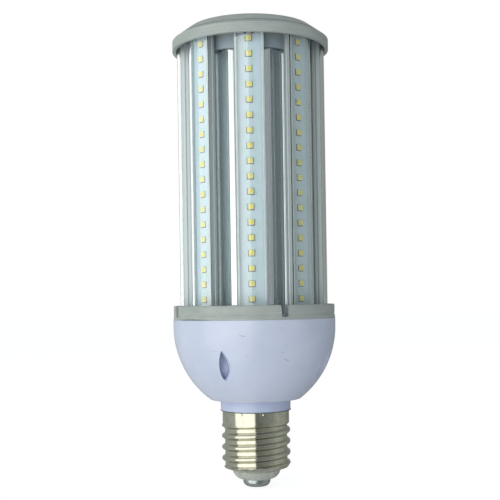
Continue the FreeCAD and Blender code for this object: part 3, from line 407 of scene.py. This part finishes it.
def extruded_aluminium():
    """Aluminium pushed through a die and clear anodised: a cool metal whose fine die lines run
    the whole length. They are drawn coarser than they are, so that they show. The core
    mirrors sharply, and the handled outer plates are duller."""
    material, tree, shader, point = new_material("extruded_aluminium", Metallic=0.86, IOR=1.5)
    die_lines = noise(tree, point, 0.45, (1, 1, 400), 3.0)
    bands = noise(tree, point, 2.4, (1, 1, 120), 2.0)
    colour = blend(tree, spread(tree, bands, 0, 1), srgb("#F2F7F9"), srgb("#E2EAED"))
    colour = blend(tree, spread(tree, die_lines, 0, 0.5), colour, srgb("#CBD5D9"))
    plates = border(tree, from_axis(tree, point), PLATES_START, 0.5, 0, 1)
    colour = blend(tree, plates, colour, srgb("#CED8DB"))
    link(tree, colour, shader, "Base Color")
    core = spread(tree, die_lines, 0.05, 0.09)
    outer = spread(tree, die_lines, 0.45, 0.6)
    rough = add(tree, "ShaderNodeMix", {"Factor": plates, "A": core, "B": outer})
    link(tree, rough.outputs["Result"], shader, "Roughness")
    relief(tree, shader, die_lines, 0.006, 0.5)
    return material


def white_solder_mask():
    """White solder mask, screened over an aluminium board: pale and satin, with the copper
    under it showing as faint bluish and greenish fields and a slight step at their edges."""
    material, tree, shader, point = new_material("white_solder_mask", IOR=1.5)
    streaks = noise(tree, point, 1.3, (1, 1, 22), 2.0)
    fields = noise(tree, point, 3.2, (1, 1, 1.6), 2.0)
    colour = blend(tree, spread(tree, streaks, 0, 1), srgb("#D8ECF2"), srgb("#DCE6F8"))
    colour = blend(tree, spread(tree, fields, 0, 0.7), colour, srgb("#CFE6E2"))
    link(tree, colour, shader, "Base Color")
    link(tree, spread(tree, fields, 0.5, 0.62), shader, "Roughness")
    relief(tree, shader, streaks, 0.02, 0.5)
    return material


def led_package():
    """The LED's moulded frame, white reflective plastic that has yellowed to cream."""
    material, tree, shader, point = new_material("led_package", Roughness=0.4, IOR=1.5)
    clouds = noise(tree, point, 0.8, detail=2.0)
    colour = blend(tree, spread(tree, clouds, 0, 1), srgb("#F8F2D2"), srgb("#EBE2B4"))
    link(tree, colour, shader, "Base Color")
    return material


def phosphor_gel():
    """Silicone filled with yellow phosphor: a saturated, wet-looking yellow. Its grain is
    drawn coarser than it is, so that it shows."""
    material, tree, shader, point = new_material("phosphor_gel", Roughness=0.22, IOR=1.41)
    grain = noise(tree, point, 0.25, detail=2.0)
    colour = blend(tree, spread(tree, grain, 0, 1), srgb("#FFF67C"), srgb("#F8EA5C"))
    link(tree, colour, shader, "Base Color")
    relief(tree, shader, grain, 0.02, 0.4)
    return material


def solder_painted_shadow():
    """Solder round the LED's feet, dull, dark and olive grey: partly real solder, partly a painted
    shadow round each LED.
    """
    material, tree, shader, point = new_material("solder_painted_shadow", Metallic=0.7)
    grain = noise(tree, point, 0.4, detail=3.0)
    colour = blend(tree, spread(tree, grain, 0, 1), srgb("#6F6C42"), srgb("#4E4D33"))
    link(tree, colour, shader, "Base Color")
    link(tree, spread(tree, grain, 0.3, 0.5), shader, "Roughness")
    relief(tree, shader, grain, 0.05, 0.6)
    return material


def clear_polycarbonate():
    """Extruded clear polycarbonate: it bends what lies behind it and carries sharp upright
    highlights on its dome. Faint die lines keep them from being perfect. Lamps shine through."""
    material, tree, shader, point = new_material(
        "clear_polycarbonate", Base_Color=srgb("#FAFDFE"), Roughness=0.03, IOR=1.585,
        Transmission_Weight=1.0, Specular_IOR_Level=0.15,
    )
    die_lines = noise(tree, point, 0.7, (1, 1, 300), 2.0)
    relief(tree, shader, die_lines, 0.01, 0.3)
    path = add(tree, "ShaderNodeLightPath")
    open_way = add(tree, "ShaderNodeBsdfTransparent", {"Color": srgb("#FAFDFE")})
    either = add(
        tree, "ShaderNodeMixShader",
        {0: path.outputs["Is Shadow Ray"], 1: shader.outputs["BSDF"], 2: open_way.outputs["BSDF"]},
    )
    output = next(node for node in tree.nodes if node.type == "OUTPUT_MATERIAL")
    tree.links.new(either.outputs["Shader"], output.inputs["Surface"])
    return material


def foot_painted_highlight():
    """The strip's long edges, drawn pale and matt as a painted highlight: they gather light from the
    dome and show as a bright line on each side of a column, as the clear edge does by internal
    reflection."""
    material, tree, shader, point = new_material("foot_painted_highlight", IOR=1.585)
    marks = noise(tree, point, 0.8, (1, 1, 12), 3.0)
    colour = blend(tree, spread(tree, marks, 0, 1), srgb("#F6FBFC"), srgb("#DCE8EA"))
    link(tree, colour, shader, "Base Color")
    link(tree, spread(tree, marks, 0.4, 0.6), shader, "Roughness")
    return material


def zinc_plated_steel():
    """Cold-headed steel screws with bright zinc: cool grey with a faint yellow and blue bloom."""
    material, tree, shader, point = new_material("zinc_plated_steel", Metallic=1.0)
    bloom = noise(tree, point, 1.6, detail=3.0)
    colour = blend(tree, spread(tree, bloom, 0, 1), srgb("#C9CCCB"), srgb("#A9B0B8"))
    link(tree, colour, shader, "Base Color")
    link(tree, spread(tree, bloom, 0.22, 0.4), shader, "Roughness")
    relief(tree, shader, bloom, 0.03, 0.4)
    return material


def green_laminate():
    """Glass-fibre laminate under green solder mask. The weave shows through, drawn coarser
    than it is, and the copper's fields are darker."""
    material, tree, shader, point = new_material("green_laminate", IOR=1.5)
    weave = add(
        tree, "ShaderNodeTexBrick",
        {"Vector": point, "Scale": per_mm(1.2), "Mortar Size": 0.04,
         "Color1": srgb("#2C6B3B"), "Color2": srgb("#2A6438"), "Mortar": srgb("#387A46")},
    )
    fields = noise(tree, point, 5.0, detail=1.0)
    copper = spread(tree, fields, 0, 0.6, 0.48, 0.52)
    colour = blend(tree, copper, weave.outputs["Color"], srgb("#205430"))
    link(tree, colour, shader, "Base Color")
    link(tree, spread(tree, fields, 0.25, 0.4), shader, "Roughness")
    relief(tree, shader, fields, 0.05, 0.5)
    return material


def small_part(name, pale, dark, grain, gloss, depth=0.04, **sockets):
    """A small moulded, dipped or drawn piece: two tones of one colour in a fine grain."""
    material, tree, shader, point = new_material(name, IOR=1.5, **sockets)
    clouds = noise(tree, point, grain, detail=3.0)
    link(tree, blend(tree, spread(tree, clouds, 0, 1), srgb(pale), srgb(dark)), shader, "Base Color")
    link(tree, spread(tree, clouds, gloss, gloss + 0.15), shader, "Roughness")
    relief(tree, shader, clouds, depth, 0.5)
    return material


def wound_wire(name, pale, dark, spacing):
    """Turns of wire or tape side by side: fine bands that run round the winding."""
    material, tree, shader, point = new_material(name, Roughness=0.35, IOR=1.5)
    turns = add(
        tree, "ShaderNodeTexWave", {"Vector": point, "Scale": per_mm(spacing) / 6, "Distortion": 0.6},
        bands_direction="Z",
    ).outputs["Fac"]
    link(tree, blend(tree, turns, srgb(pale), srgb(dark)), shader, "Base Color")
    relief(tree, shader, turns, 0.12, 0.7)
    return material


materials = {
    "nickel_shell": rolled_nickel_plate(),
    "contact_metal": soldered_contact(),
    "base_insulator": fired_insulator(),
    "housing_white": gloss_white_housing(),
    "trim_grey": satin_grey_paint(),
    "heat_sink": extruded_aluminium(),
    "screw_steel": zinc_plated_steel(),
    "led_board": white_solder_mask(),
    "led_phosphor": phosphor_gel(),
    "clear_cover": clear_polycarbonate(),
    "driver_board": green_laminate(),
    "insulating_film": small_part("insulating_film", "#9AA3C8", "#8790B6", 4.0, 0.3, 0.1),
    "ferrite": small_part("sintered_ferrite", "#3A3A3D", "#232326", 0.8, 0.5),
    "winding_tape": wound_wire("yellow_film_tape", "#D9BC3E", "#B9982A", 2.2),
    "capacitor_sleeve": small_part("shrunk_pvc_sleeve", "#27304A", "#1B2236", 6.0, 0.25),
    "choke_wire": wound_wire("enamelled_copper_wire", "#B5652C", "#7A3D18", 0.8),
    "fuse_body": small_part("fuse_ceramic", "#D9D3C2", "#B9B29D", 1.5, 0.3),
    "varistor_coat": small_part("blue_epoxy_dip", "#2E62B0", "#234C8C", 1.2, 0.3, 0.08),
    "film_capacitor": small_part("moulded_red_box", "#B03A2E", "#8E2C23", 1.0, 0.35),
    "black_package": small_part("moulded_black_epoxy", "#2B2B2D", "#1A1A1C", 0.5, 0.45),
    "live_wire": small_part("brown_wire_pvc", "#6B4630", "#553523", 1.0, 0.35),
    "neutral_wire": small_part("blue_wire_pvc", "#2F4F8A", "#233D6D", 1.0, 0.35),
    "plus_wire": small_part("red_wire_pvc", "#A8201A", "#861813", 1.0, 0.35),
    "minus_wire": small_part("black_wire_pvc", "#262628", "#18181A", 1.0, 0.35),
    "jumper_wire": small_part("white_wire_pvc", "#E4E3DC", "#CFCDC2", 1.0, 0.35),
}

for row in frame["record"]["subparts"]:
    node = frame["nodes"][row["node"]]
    node.data.materials.clear()
    node.data.materials.append(materials[row["material_slot"]])


# Making pieces

def enter(piece, replaced):
    """Puts a piece on the lamp's one body. It may stand for a CAD node."""
    bpy.context.scene.collection.objects.link(piece)
    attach(piece, "root")
    if replaced:
        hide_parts(replaced)


def new_piece(name, build, looks, replaced=None):
    """A piece from a bmesh in millimetres."""
    mesh = bpy.data.meshes.new(name)
    build.transform(Matrix.Scale(MM, 4))
    bmesh.ops.recalc_face_normals(build, faces=build.faces)
    build.to_mesh(mesh)
    build.free()
    for material in looks:
        mesh.materials.append(material)
    piece = bpy.data.objects.new(name, mesh)
    enter(piece, replaced)
    return piece


def copy_piece(first, name, turn, replaced=None):
    """Another piece with the same mesh, turned round the axis."""
    piece = bpy.data.objects.new(name, first.data)
    piece.rotation_euler.z = turn
    enter(piece, replaced)


def smooth(piece, angle):
    """Smooth shading with sharp edges where faces meet at more than the angle."""
    for polygon in piece.data.polygons:
        polygon.use_smooth = True
    piece.data.set_sharp_from_angle(angle=math.radians(angle))


def grid(build, rows, close_ends=False):
    """Faces between rings of points with as many points in each ring."""
    verts = [[build.verts.new(point) for point in row] for row in rows]
    count = len(verts[0])
    last = len(verts) if close_ends else len(verts) - 1
    for index in range(last):
        here, there = verts[index], verts[(index + 1) % len(verts)]
        for step in range(count):
            after = (step + 1) % count
            build.faces.new((here[step], here[after], there[after], there[step]))
    return verts


def capped_grid(build, rows):
    """Faces between rings of points, with a face on the first ring and on the last."""
    verts = grid(build, rows)
    build.faces.new(verts[0])
    build.faces.new(verts[-1])


def turned(profile, angle):
    """Points of a profile of radii and heights, turned to an angle in radians from +X."""
    return [(r * math.cos(angle), r * math.sin(angle), z) for r, z in profile]


def smooth_step(value):
    """0 below 0, 1 above 1 and a soft ramp between."""
    value = min(max(value, 0.0), 1.0)
    return value * value * (3 - 2 * value)


# Screw shell

def dent_depth(angle, height, dents):
    """How deep the punch marks under the collar's edge are here."""
    depth, reach = 0.0, 3.0
    for dent_angle, size in dents:
        away = (angle - dent_angle + math.pi) % (2 * math.pi) - math.pi
        across = away * COLLAR_RADIUS / (DENT_RADIUS * size)
        up = (height + DENT_DROP) / (DENT_RADIUS * size)
        distance = math.hypot(across, up)
        if distance < reach:
            depth += DENT_DEPTH * size * math.exp(-distance ** 2)
    return depth


def shell_radius(angle, height):
    """Radius of the rolled shell. The angle is from +X, and crests rise with it."""
    phase = (height + THREAD_FIRST) / THREAD_PITCH - angle / (2 * math.pi)
    from_crest = abs((phase + 0.5) % 1.0 - 0.5)
    wave = 1 - smooth_step((from_crest - (0.5 - ROOT_FLAT - FLANK)) / FLANK)
    thread = THREAD_ROOT + (THREAD_CREST - THREAD_ROOT) * wave
    lead, run_in = 0.5, 1.4
    into_thread = smooth_step((-height - COLLAR_LENGTH + lead) / run_in)
    radius = COLLAR_RADIUS + (thread - COLLAR_RADIUS) * into_thread
    low = height + SHELL_LENGTH
    turned_in = SHELL_MOUTH + (SHELL_CORNER - SHELL_MOUTH) * low / SHELL_TURN_IN
    slope = (THREAD_CREST - SHELL_CORNER) / (SHELL_TAPER - SHELL_TURN_IN)
    taper = SHELL_CORNER + slope * (low - SHELL_TURN_IN)
    return min(radius, turned_in, taper)


def make_screw_shell():
    """The rolled shell: collar with punch marks, rounded thread, turned-in mouth and wall."""
    steps, row_height, lip = 360, 0.25, 0.4
    chance = random.Random(5)
    dents = []
    for index in range(DENT_COUNT):
        angle = math.radians(DENT_ANGLE - 90 + index * 360 / DENT_COUNT)
        dents.append((angle, chance.uniform(0.75, 1.15)))
    angles = [2 * math.pi * step / steps for step in range(steps)]
    rows = []
    for index in range(int(SHELL_LENGTH / row_height) + 1):
        height = -index * row_height
        row = []
        for angle in angles:
            radius = shell_radius(angle, height) - dent_depth(angle, height, dents)
            row.append((radius * math.cos(angle), radius * math.sin(angle), height))
        rows.append(row)
    inner = [
        (SHELL_MOUTH - lip, -SHELL_LENGTH),
        (SHELL_MOUTH - lip, -SHELL_LENGTH + SHELL_WALL),
        (THREAD_ROOT - SHELL_WALL, -SHELL_LENGTH + SHELL_TURN_IN + SHELL_WALL / 2),
        (THREAD_ROOT - SHELL_WALL, -COLLAR_LENGTH - SHELL_WALL),
        (COLLAR_RADIUS - 2 * SHELL_WALL, -COLLAR_LENGTH),
        (COLLAR_RADIUS - 2 * SHELL_WALL, 0),
    ]
    for radius, height in inner:
        rows.append([(radius * math.cos(a), radius * math.sin(a), height) for a in angles])
    build = bmesh.new()
    grid(build, rows, close_ends=True)
    piece = new_piece(
        "rolled_shell", build, [materials["nickel_shell"]], "screw_shell"
    )
    smooth(piece, 50)


# Gasket, vent scoops and seam

def make_gasket():
    """The dark sealing ring between the plastic neck and the shell, slightly proud of both. Its dark
    colour also paints the shadow line under the neck.
    """
    build = bmesh.new()
    steps = 180
    profile = (
        (GASKET_INNER, GASKET_LOW),
        (GASKET_OUTER - GASKET_CHAMFER, GASKET_LOW),
        (GASKET_OUTER, GASKET_LOW + GASKET_CHAMFER),
        (GASKET_OUTER, GASKET_HIGH),
        (GASKET_INNER, GASKET_HIGH),
    )
    rows = [turned(profile, 2 * math.pi * step / steps) for step in range(steps)]
    grid(build, rows, close_ends=True)
    rubber = small_part("gasket_rubber_and_shadow", "#66776F", "#4F5F58", 1.2, 0.4)
    piece = new_piece("neck_gasket", build, [rubber])
    smooth(piece, 30)


def make_scoops():
    """A sloping wall behind each vent. It turns the air aside and hides the driver. A faint
    violet glow stands for the daylight that comes through the thin white plastic."""
    to_vent = Matrix.Rotation(math.radians(-VENT_ANGLE), 3, "Z")
    aim = to_vent @ Matrix.Rotation(math.radians(VENT_TILT), 3, "X")
    centre = to_vent @ Vector((0, -BOWL_MIDDLE, 0)) + Vector((0, 0, BOWL_CENTRE))
    inner = BOWL_CURVE - HOUSING_WALL
    right, fold, left = 4.4, -4.5, -8.0
    high, row_height, row_count, slope_half, wall = 10.0, 5.0, 6, 8.0, 1.0
    build = bmesh.new()
    rows = []
    for index in range(row_count):
        up = high - index * row_height
        slope = smooth_step((up + slope_half) / (2 * slope_half))
        # Places across the vent, and how far behind the housing's inner face the scoop is there
        front = ((right, 0.6), (fold, 1.0 + 3.0 * slope), (left, 1.1))
        back = [(aside, behind + wall) for aside, behind in reversed(front)]
        row = []
        for aside, behind in (*front, *back):
            deep = math.sqrt(inner ** 2 - up ** 2) - behind
            row.append(centre + aim @ Vector((aside, -deep, up)))
        rows.append(row)
    capped_grid(build, rows)
    plastic = small_part(
        "scoop_plastic", "#C2C9E2", "#B6BED8", 5.0, 0.3,
        Emission_Color=srgb("#494E5E"), Emission_Strength=0.4,
    )
    first = new_piece("vent_scoop_1", build, [plastic])
    for index in range(1, VENTS):
        turn = 2 * math.pi * index / VENTS
        copy_piece(first, f"vent_scoop_{index + 1}", turn)


def make_seam_gap():
    """A thin dark crescent, a painted shadow, where the ring stands off the housing a little, on the
    left.
    """
    build = bmesh.new()
    steps, lift, end_height = 24, 0.02, 0.03
    inner, outer = SEAM_RADIUS, SEAM_RADIUS + SEAM_PROUD
    low = SEAM_HEIGHT + lift
    rows = []
    for step in range(steps + 1):
        share = step / steps
        high = SEAM_HEIGHT + end_height + SEAM_TALL * math.sin(math.pi * share)
        profile = ((inner, low), (outer, low), (outer, high), (inner, high))
        rows.append(turned(profile, math.radians(SEAM_START + SEAM_SWEEP * share - 90)))
    capped_grid(build, rows)
    shadow = small_part("seam_shadow", "#5C6A6B", "#4A5658", 1.0, 0.6)
    new_piece("seam_gap_shadow", build, [shadow])


# LED columns

def box_between(build, low, high, bevel, material=0):
    """A box between two corners, with its edges bevelled."""
    size = [high[i] - low[i] for i in range(3)]
    centre = [(high[i] + low[i]) / 2 for i in range(3)]
    made = bmesh.ops.create_cube(build, size=1.0)
    bmesh.ops.scale(build, vec=size, verts=made["verts"])
    bmesh.ops.translate(build, vec=centre, verts=made["verts"])
    faces = list({face for vert in made["verts"] for face in vert.link_faces})
    for face in faces:
        face.material_index = material
    edges = list({edge for face in faces for edge in face.edges})
    result = bmesh.ops.bevel(
        build, geom=edges, offset=bevel, segments=2, profile=0.6, affect="EDGES"
    )
    for face in result["faces"]:
        face.material_index = material


def board_mesh():
    """One board with its edges softened."""
    build = bmesh.new()
    low = (-BOARD_HALF, -BOARD_FRONT, sink_low.z + BOARD_END_GAP)
    high = (BOARD_HALF, -BOARD_BACK, sink_high.z - BOARD_END_GAP)
    box_between(build, low, high, bevel=0.08)
    return build


def led_mesh():
    """A column of LEDs: cream packages with a phosphor well, on dark olive solder fillets that also
    paint each LED's shadow.
    """
    build = bmesh.new()
    half_x, half_z = LED_WIDTH / 2, LED_HEIGHT / 2
    # How far the dark solder shows past the package, and its thickness. It shows most on the left and
    # below, where it paints the LED's shadow.
    left, right, below, above, fillet = 0.39, 0.21, 0.33, 0.12, 0.16
    # The package from its foot to the floor of its well: distances in from its sides, heights
    # over the board and corner radii
    outline = (
        (0.0, 0.02, 0.25),
        (0.0, 0.55, 0.25),
        (0.1, LED_THICK, 0.25),
        (LED_RIM, LED_THICK, 0.45),
        (LED_RIM + 0.1, LED_THICK - LED_WELL, 0.45),
    )
    dome = 0.02
    for index in range(LED_COUNT):
        middle = sink_low.z + LED_FIRST + index * LED_PITCH
        box_between(
            build,
            (-half_x - left, -BOARD_FRONT - fillet, middle - half_z - below),
            (half_x + right, -BOARD_FRONT, middle + half_z + above),
            bevel=0.07, material=2,
        )
        rings = [
            rounded_ring(half_x - inset, half_z - inset, corner, -BOARD_FRONT - rise, middle)
            for inset, rise, corner in outline
        ]
        verts = grid(build, rings)
        build.faces.new(verts[0])
        centre = build.verts.new((0, -BOARD_FRONT - LED_THICK + LED_WELL - dome, middle))
        inner = verts[-1]
        for step, vert in enumerate(inner):
            face = build.faces.new((vert, inner[(step + 1) % len(inner)], centre))
            face.material_index = 1
    return build


def rounded_ring(half_x, half_z, corner, y, middle):
    """Points of a rectangle with round corners, in the plane of the board."""
    points = []
    for turn in range(4):
        side_x = 1 if turn in (0, 3) else -1
        side_z = 1 if turn in (0, 1) else -1
        for step in range(4):
            angle = math.radians(90 * turn + 30 * step)
            x = side_x * (half_x - corner) + corner * math.cos(angle)
            z = side_z * (half_z - corner) + corner * math.sin(angle)
            points.append((x, y, middle + z))
    return points


def cover_mesh():
    """The clear strip: a dome of even wall that stands on the column's two lips. The inner half of
    each foot is drawn pale and matt, a painted highlight."""
    rise = COVER_APEX - COVER_EDGE
    dome = (COVER_HALF ** 2 + rise ** 2) / (2 * rise)
    centre = COVER_APEX - dome
    inner = dome - COVER_WALL
    outer_span = math.asin(COVER_HALF / dome)
    inner_span = math.acos((COVER_EDGE - centre) / inner)
    outline = []
    steps = 28
    for step in range(steps + 1):
        angle = outer_span * (2 * step / steps - 1)
        outline.append((dome * math.sin(angle), centre + dome * math.cos(angle)))
    half_foot = (COVER_HALF + inner * math.sin(inner_span)) / 2
    outline.append((half_foot, COVER_EDGE))
    for step in range(steps + 1):
        angle = inner_span * (1 - 2 * step / steps)
        outline.append((inner * math.sin(angle), centre + inner * math.cos(angle)))
    outline.append((-half_foot, COVER_EDGE))
    build = bmesh.new()
    rows = [[(x, -y, height) for x, y in outline] for height in (sink_low.z, sink_high.z)]
    capped_grid(build, rows)
    near = 0.001
    for face in build.faces:
        corners = [vert.co for vert in face.verts]
        under = all(abs(corner.y + COVER_EDGE) < near for corner in corners)
        if under and all(abs(corner.x) < half_foot + near for corner in corners):
            face.material_index = 1
    return build


def make_columns():
    """Board, LEDs and clear cover of every column. The columns share their meshes."""
    led_looks = [led_package(), materials["led_phosphor"], solder_painted_shadow()]
    cover_looks = [materials["clear_cover"], foot_painted_highlight()]
    kinds = (
        ("board", board_mesh, [materials["led_board"]], "led_board", "led_board", 40),
        ("leds", led_mesh, led_looks, "led_phosphor", "led_row", 40),
        ("cover", cover_mesh, cover_looks, "clear_cover", "clear_cover", 30),
    )
    for name, draw, looks, slot, node, sharp in kinds:
        first = new_piece(f"{name}_1", draw(), looks, f"{node}_1")
        smooth(first, sharp)
        for index in range(1, COLUMNS):
            turn = 2 * math.pi * index / COLUMNS
            copy_piece(first, f"{name}_{index + 1}", turn, f"{node}_{index + 1}")


# Camera, lights and studio

# Millimetres and degrees
EYE_HEIGHT = 63.9
CAMERA_DISTANCE = 554.0
CAMERA_ANGLE = 1.3
CAMERA_ROLL = -0.89
SENSOR_WIDTH = 36.0

# Pixels of the photograph. The point on the lamp's axis at eye height lies at EYE_LEVEL.
FOCAL_PIXELS = 960.0
IMAGE_WIDTH = 500.0
EYE_LEVEL_X, EYE_LEVEL_Y = 254.0, 298.0

# A share of the image's width
SHIFT_Y = 0.09


def make_camera():
    """The camera at the photograph's distance and eye height, looking level at the lamp."""
    data = bpy.data.cameras.new("camera")
    data.sensor_width = SENSOR_WIDTH
    data.lens = SENSOR_WIDTH * FOCAL_PIXELS / IMAGE_WIDTH
    data.shift_y = SHIFT_Y
    data.clip_start = 0.01
    camera = bpy.data.objects.new("camera", data)
    bpy.context.scene.collection.objects.link(camera)
    bpy.context.scene.camera = camera
    angle = math.radians(CAMERA_ANGLE)
    target = Vector((0, 0, EYE_HEIGHT)) * MM
    place = Vector((math.sin(angle), -math.cos(angle), 0)) * CAMERA_DISTANCE * MM + target
    level = (target - place).to_track_quat("-Z", "Y")
    across = EYE_LEVEL_X - IMAGE_WIDTH / 2
    down = EYE_LEVEL_Y - IMAGE_WIDTH / 2 - SHIFT_Y * IMAGE_WIDTH
    seen = Vector((across, -down, -FOCAL_PIXELS)).normalized()
    aside = seen.rotation_difference(Vector((0, 0, -1)))
    roll = Quaternion((0, 0, 1), math.radians(CAMERA_ROLL))
    camera.rotation_mode = "QUATERNION"
    camera.location = place
    camera.rotation_quaternion = level @ roll @ aside


def around_lamp(angle, elevation, distance):
    """A point this many metres from the axis at eye height, at an angle from -Y towards +X."""
    angle, elevation = math.radians(angle), math.radians(elevation)
    middle = Vector((0, 0, EYE_HEIGHT * MM))
    across = distance * math.cos(elevation)
    return middle + Vector(
        (across * math.sin(angle), -across * math.cos(angle), distance * math.sin(elevation))
    )


def glowing_stage(name, mesh, levels, tint, lights):
    """A stage piece that glows at a level per point, where 1 would show as white. The camera
    never sees it, and it lights matt surfaces only where lights is true."""
    glow = mesh.color_attributes.new("glow", "FLOAT_COLOR", "POINT")
    for index, level in enumerate(levels):
        glow.data[index].color = (level * tint[0], level * tint[1], level * tint[2], 1.0)
    stage = bpy.data.objects.new(name, mesh)
    bpy.context.scene.collection.objects.link(stage)
    material = bpy.data.materials.new(name)
    material.use_nodes = True
    tree = material.node_tree
    tree.nodes.clear()
    colour = add(tree, "ShaderNodeVertexColor", layer_name="glow")
    light = add(tree, "ShaderNodeEmission", {"Color": colour.outputs["Color"], "Strength": 1.0})
    add(tree, "ShaderNodeOutputMaterial", {"Surface": light.outputs[0]})
    mesh.materials.append(material)
    stage.visible_camera = False
    stage.visible_diffuse = lights
    stage.visible_shadow = False


def make_key_panel():
    """A large soft panel on the left. Its right edge is straight and fades a little, and its
    left end is rounded, so that highlights on the thread narrow there."""
    width, half_height, distance = 1.45, 0.85, 1.0
    centre_angle, elevation, radiance = -39.1, -3, 1.85
    fade, faded, blunt, steps = 0.05, 0.75, 4.0, 40
    place = around_lamp(centre_angle + CAMERA_ANGLE, elevation, distance)
    turn = (around_lamp(0, 0, 0) - place).to_track_quat("Z", "Y")
    mesh = bpy.data.meshes.new("key_panel")
    points, levels = [], []
    for step in range(steps):
        along = width * (step / steps)
        tall = half_height * (1 - (along / width) ** blunt) ** (1 / blunt)
        for height in (-tall, tall):
            points.append(place + turn @ Vector((along - width / 2, height, 0)))
            levels.append(radiance * (faded + (1 - faded) * smooth_step(along / fade)))
    faces = [(2 * i, 2 * i + 1, 2 * i + 3, 2 * i + 2) for i in range(steps - 1)]
    mesh.from_pydata(points, [], faces)
    glowing_stage("key_panel", mesh, levels, srgb("#FFFFFB"), lights=True)


def make_back_light():
    """A weaker soft light behind the lamp on the left, which nothing mirrors."""
    width, height, distance = 0.8, 1.2, 1.2
    angle, elevation, radiance = -145, 8, 1.0
    data = bpy.data.lights.new("back_light", "AREA")
    data.shape = "RECTANGLE"
    data.size, data.size_y = width, height
    data.energy = radiance * math.pi * width * height
    light = bpy.data.objects.new("back_light", data)
    bpy.context.scene.collection.objects.link(light)
    light.visible_glossy = False
    light.location = around_lamp(angle + CAMERA_ANGLE, elevation, distance)
    aim = around_lamp(0, 0, 0) - light.location
    light.rotation_euler = aim.to_track_quat("-Z", "Y").to_euler()


# The wall's brightness by angle from the camera's direction, darkest beside the camera
WALL = (
    (-1.0, 0.17), (22.0, 0.25), (60.0, 0.36), (80.0, 0.5), (110.0, 0.42), (145.0, 0.25),
    (180.0, 0.4), (240.0, 0.46), (288.0, 0.56),
)


def wall_level(angle):
    """The wall's brightness at an angle, in between the stated ones."""
    for (start, first), (end, second) in zip(WALL, WALL[1:]):
        if start <= angle <= end:
            return first + (second - first) * (angle - start) / (end - start)
    return WALL[-1][1]


def make_wall():
    """The studio's wall round the lamp. It shows only in the lamp's gloss and clear strips."""
    radius, low, high, step = 1.6, -2.6, 2.6, 3.0
    angles = [WALL[0][0] + step * i for i in range(int((WALL[-1][0] - WALL[0][0]) / step) + 1)]
    mesh = bpy.data.meshes.new("studio_wall")
    points, faces, levels = [], [], []
    for index, angle in enumerate(angles):
        turn = math.radians(angle + CAMERA_ANGLE)
        for height in (low, high):
            points.append((radius * math.sin(turn), -radius * math.cos(turn), height))
            levels.append(wall_level(angle))
        if index:
            faces.append((2 * index - 2, 2 * index, 2 * index + 1, 2 * index - 1))
    mesh.from_pydata(points, [], faces)
    glowing_stage("studio_wall", mesh, levels, srgb("#F8FFFA"), lights=False)


def make_floor():
    """A white floor under the contact. The camera sees it white, with a faint shadow."""
    build = bmesh.new()
    half, gap = 6.0, 0.1 * MM
    corners = [(-half, -half), (half, -half), (half, half), (-half, half)]
    build.faces.new([build.verts.new((x, y, cad_low.z - gap)) for x, y in corners])
    mesh = bpy.data.meshes.new("floor")
    build.to_mesh(mesh)
    build.free()
    floor = bpy.data.objects.new("floor", mesh)
    bpy.context.scene.collection.objects.link(floor)
    material = bpy.data.materials.new("white_paper_floor")
    material.use_nodes = True
    tree = material.node_tree
    tree.nodes.clear()
    paper = add(tree, "ShaderNodeBsdfDiffuse", {"Color": srgb("#E6E6E6")})
    thin = add(tree, "ShaderNodeBsdfDiffuse", {"Color": srgb("#9A9A9A")})
    glow = add(tree, "ShaderNodeEmission", {"Strength": 0.86})
    lit = add(tree, "ShaderNodeAddShader", {0: thin.outputs[0], 1: glow.outputs[0]})
    path = add(tree, "ShaderNodeLightPath")
    shown = add(
        tree, "ShaderNodeMixShader",
        {0: path.outputs["Is Camera Ray"], 1: paper.outputs[0], 2: lit.outputs[0]},
    )
    add(tree, "ShaderNodeOutputMaterial", {"Surface": shown.outputs[0]})
    mesh.materials.append(material)
    floor.visible_glossy = False
    floor.visible_shadow = False


def make_world():
    """Even cool light from all round, which the camera sees white."""
    world = bpy.data.worlds.new("studio")
    bpy.context.scene.world = world
    world.use_nodes = True
    tree = world.node_tree
    tree.nodes.clear()
    path = add(tree, "ShaderNodeLightPath")
    white = add(tree, "ShaderNodeBackground", {"Color": srgb("#FFFFFF"), "Strength": 1.0})
    fill = add(tree, "ShaderNodeBackground", {"Color": srgb("#E8EEF4"), "Strength": 0.5})
    both = add(
        tree, "ShaderNodeMixShader",
        {0: path.outputs["Is Camera Ray"], 1: fill.outputs[0], 2: white.outputs[0]},
    )
    add(tree, "ShaderNodeOutputWorld", {"Surface": both.outputs[0]})


make_camera()
make_screw_shell()
make_gasket()
make_scoops()
make_seam_gap()
make_columns()
make_key_panel()
make_back_light()
make_world()
make_floor()
make_wall()
bpy.context.scene.view_settings.view_transform = "Standard"
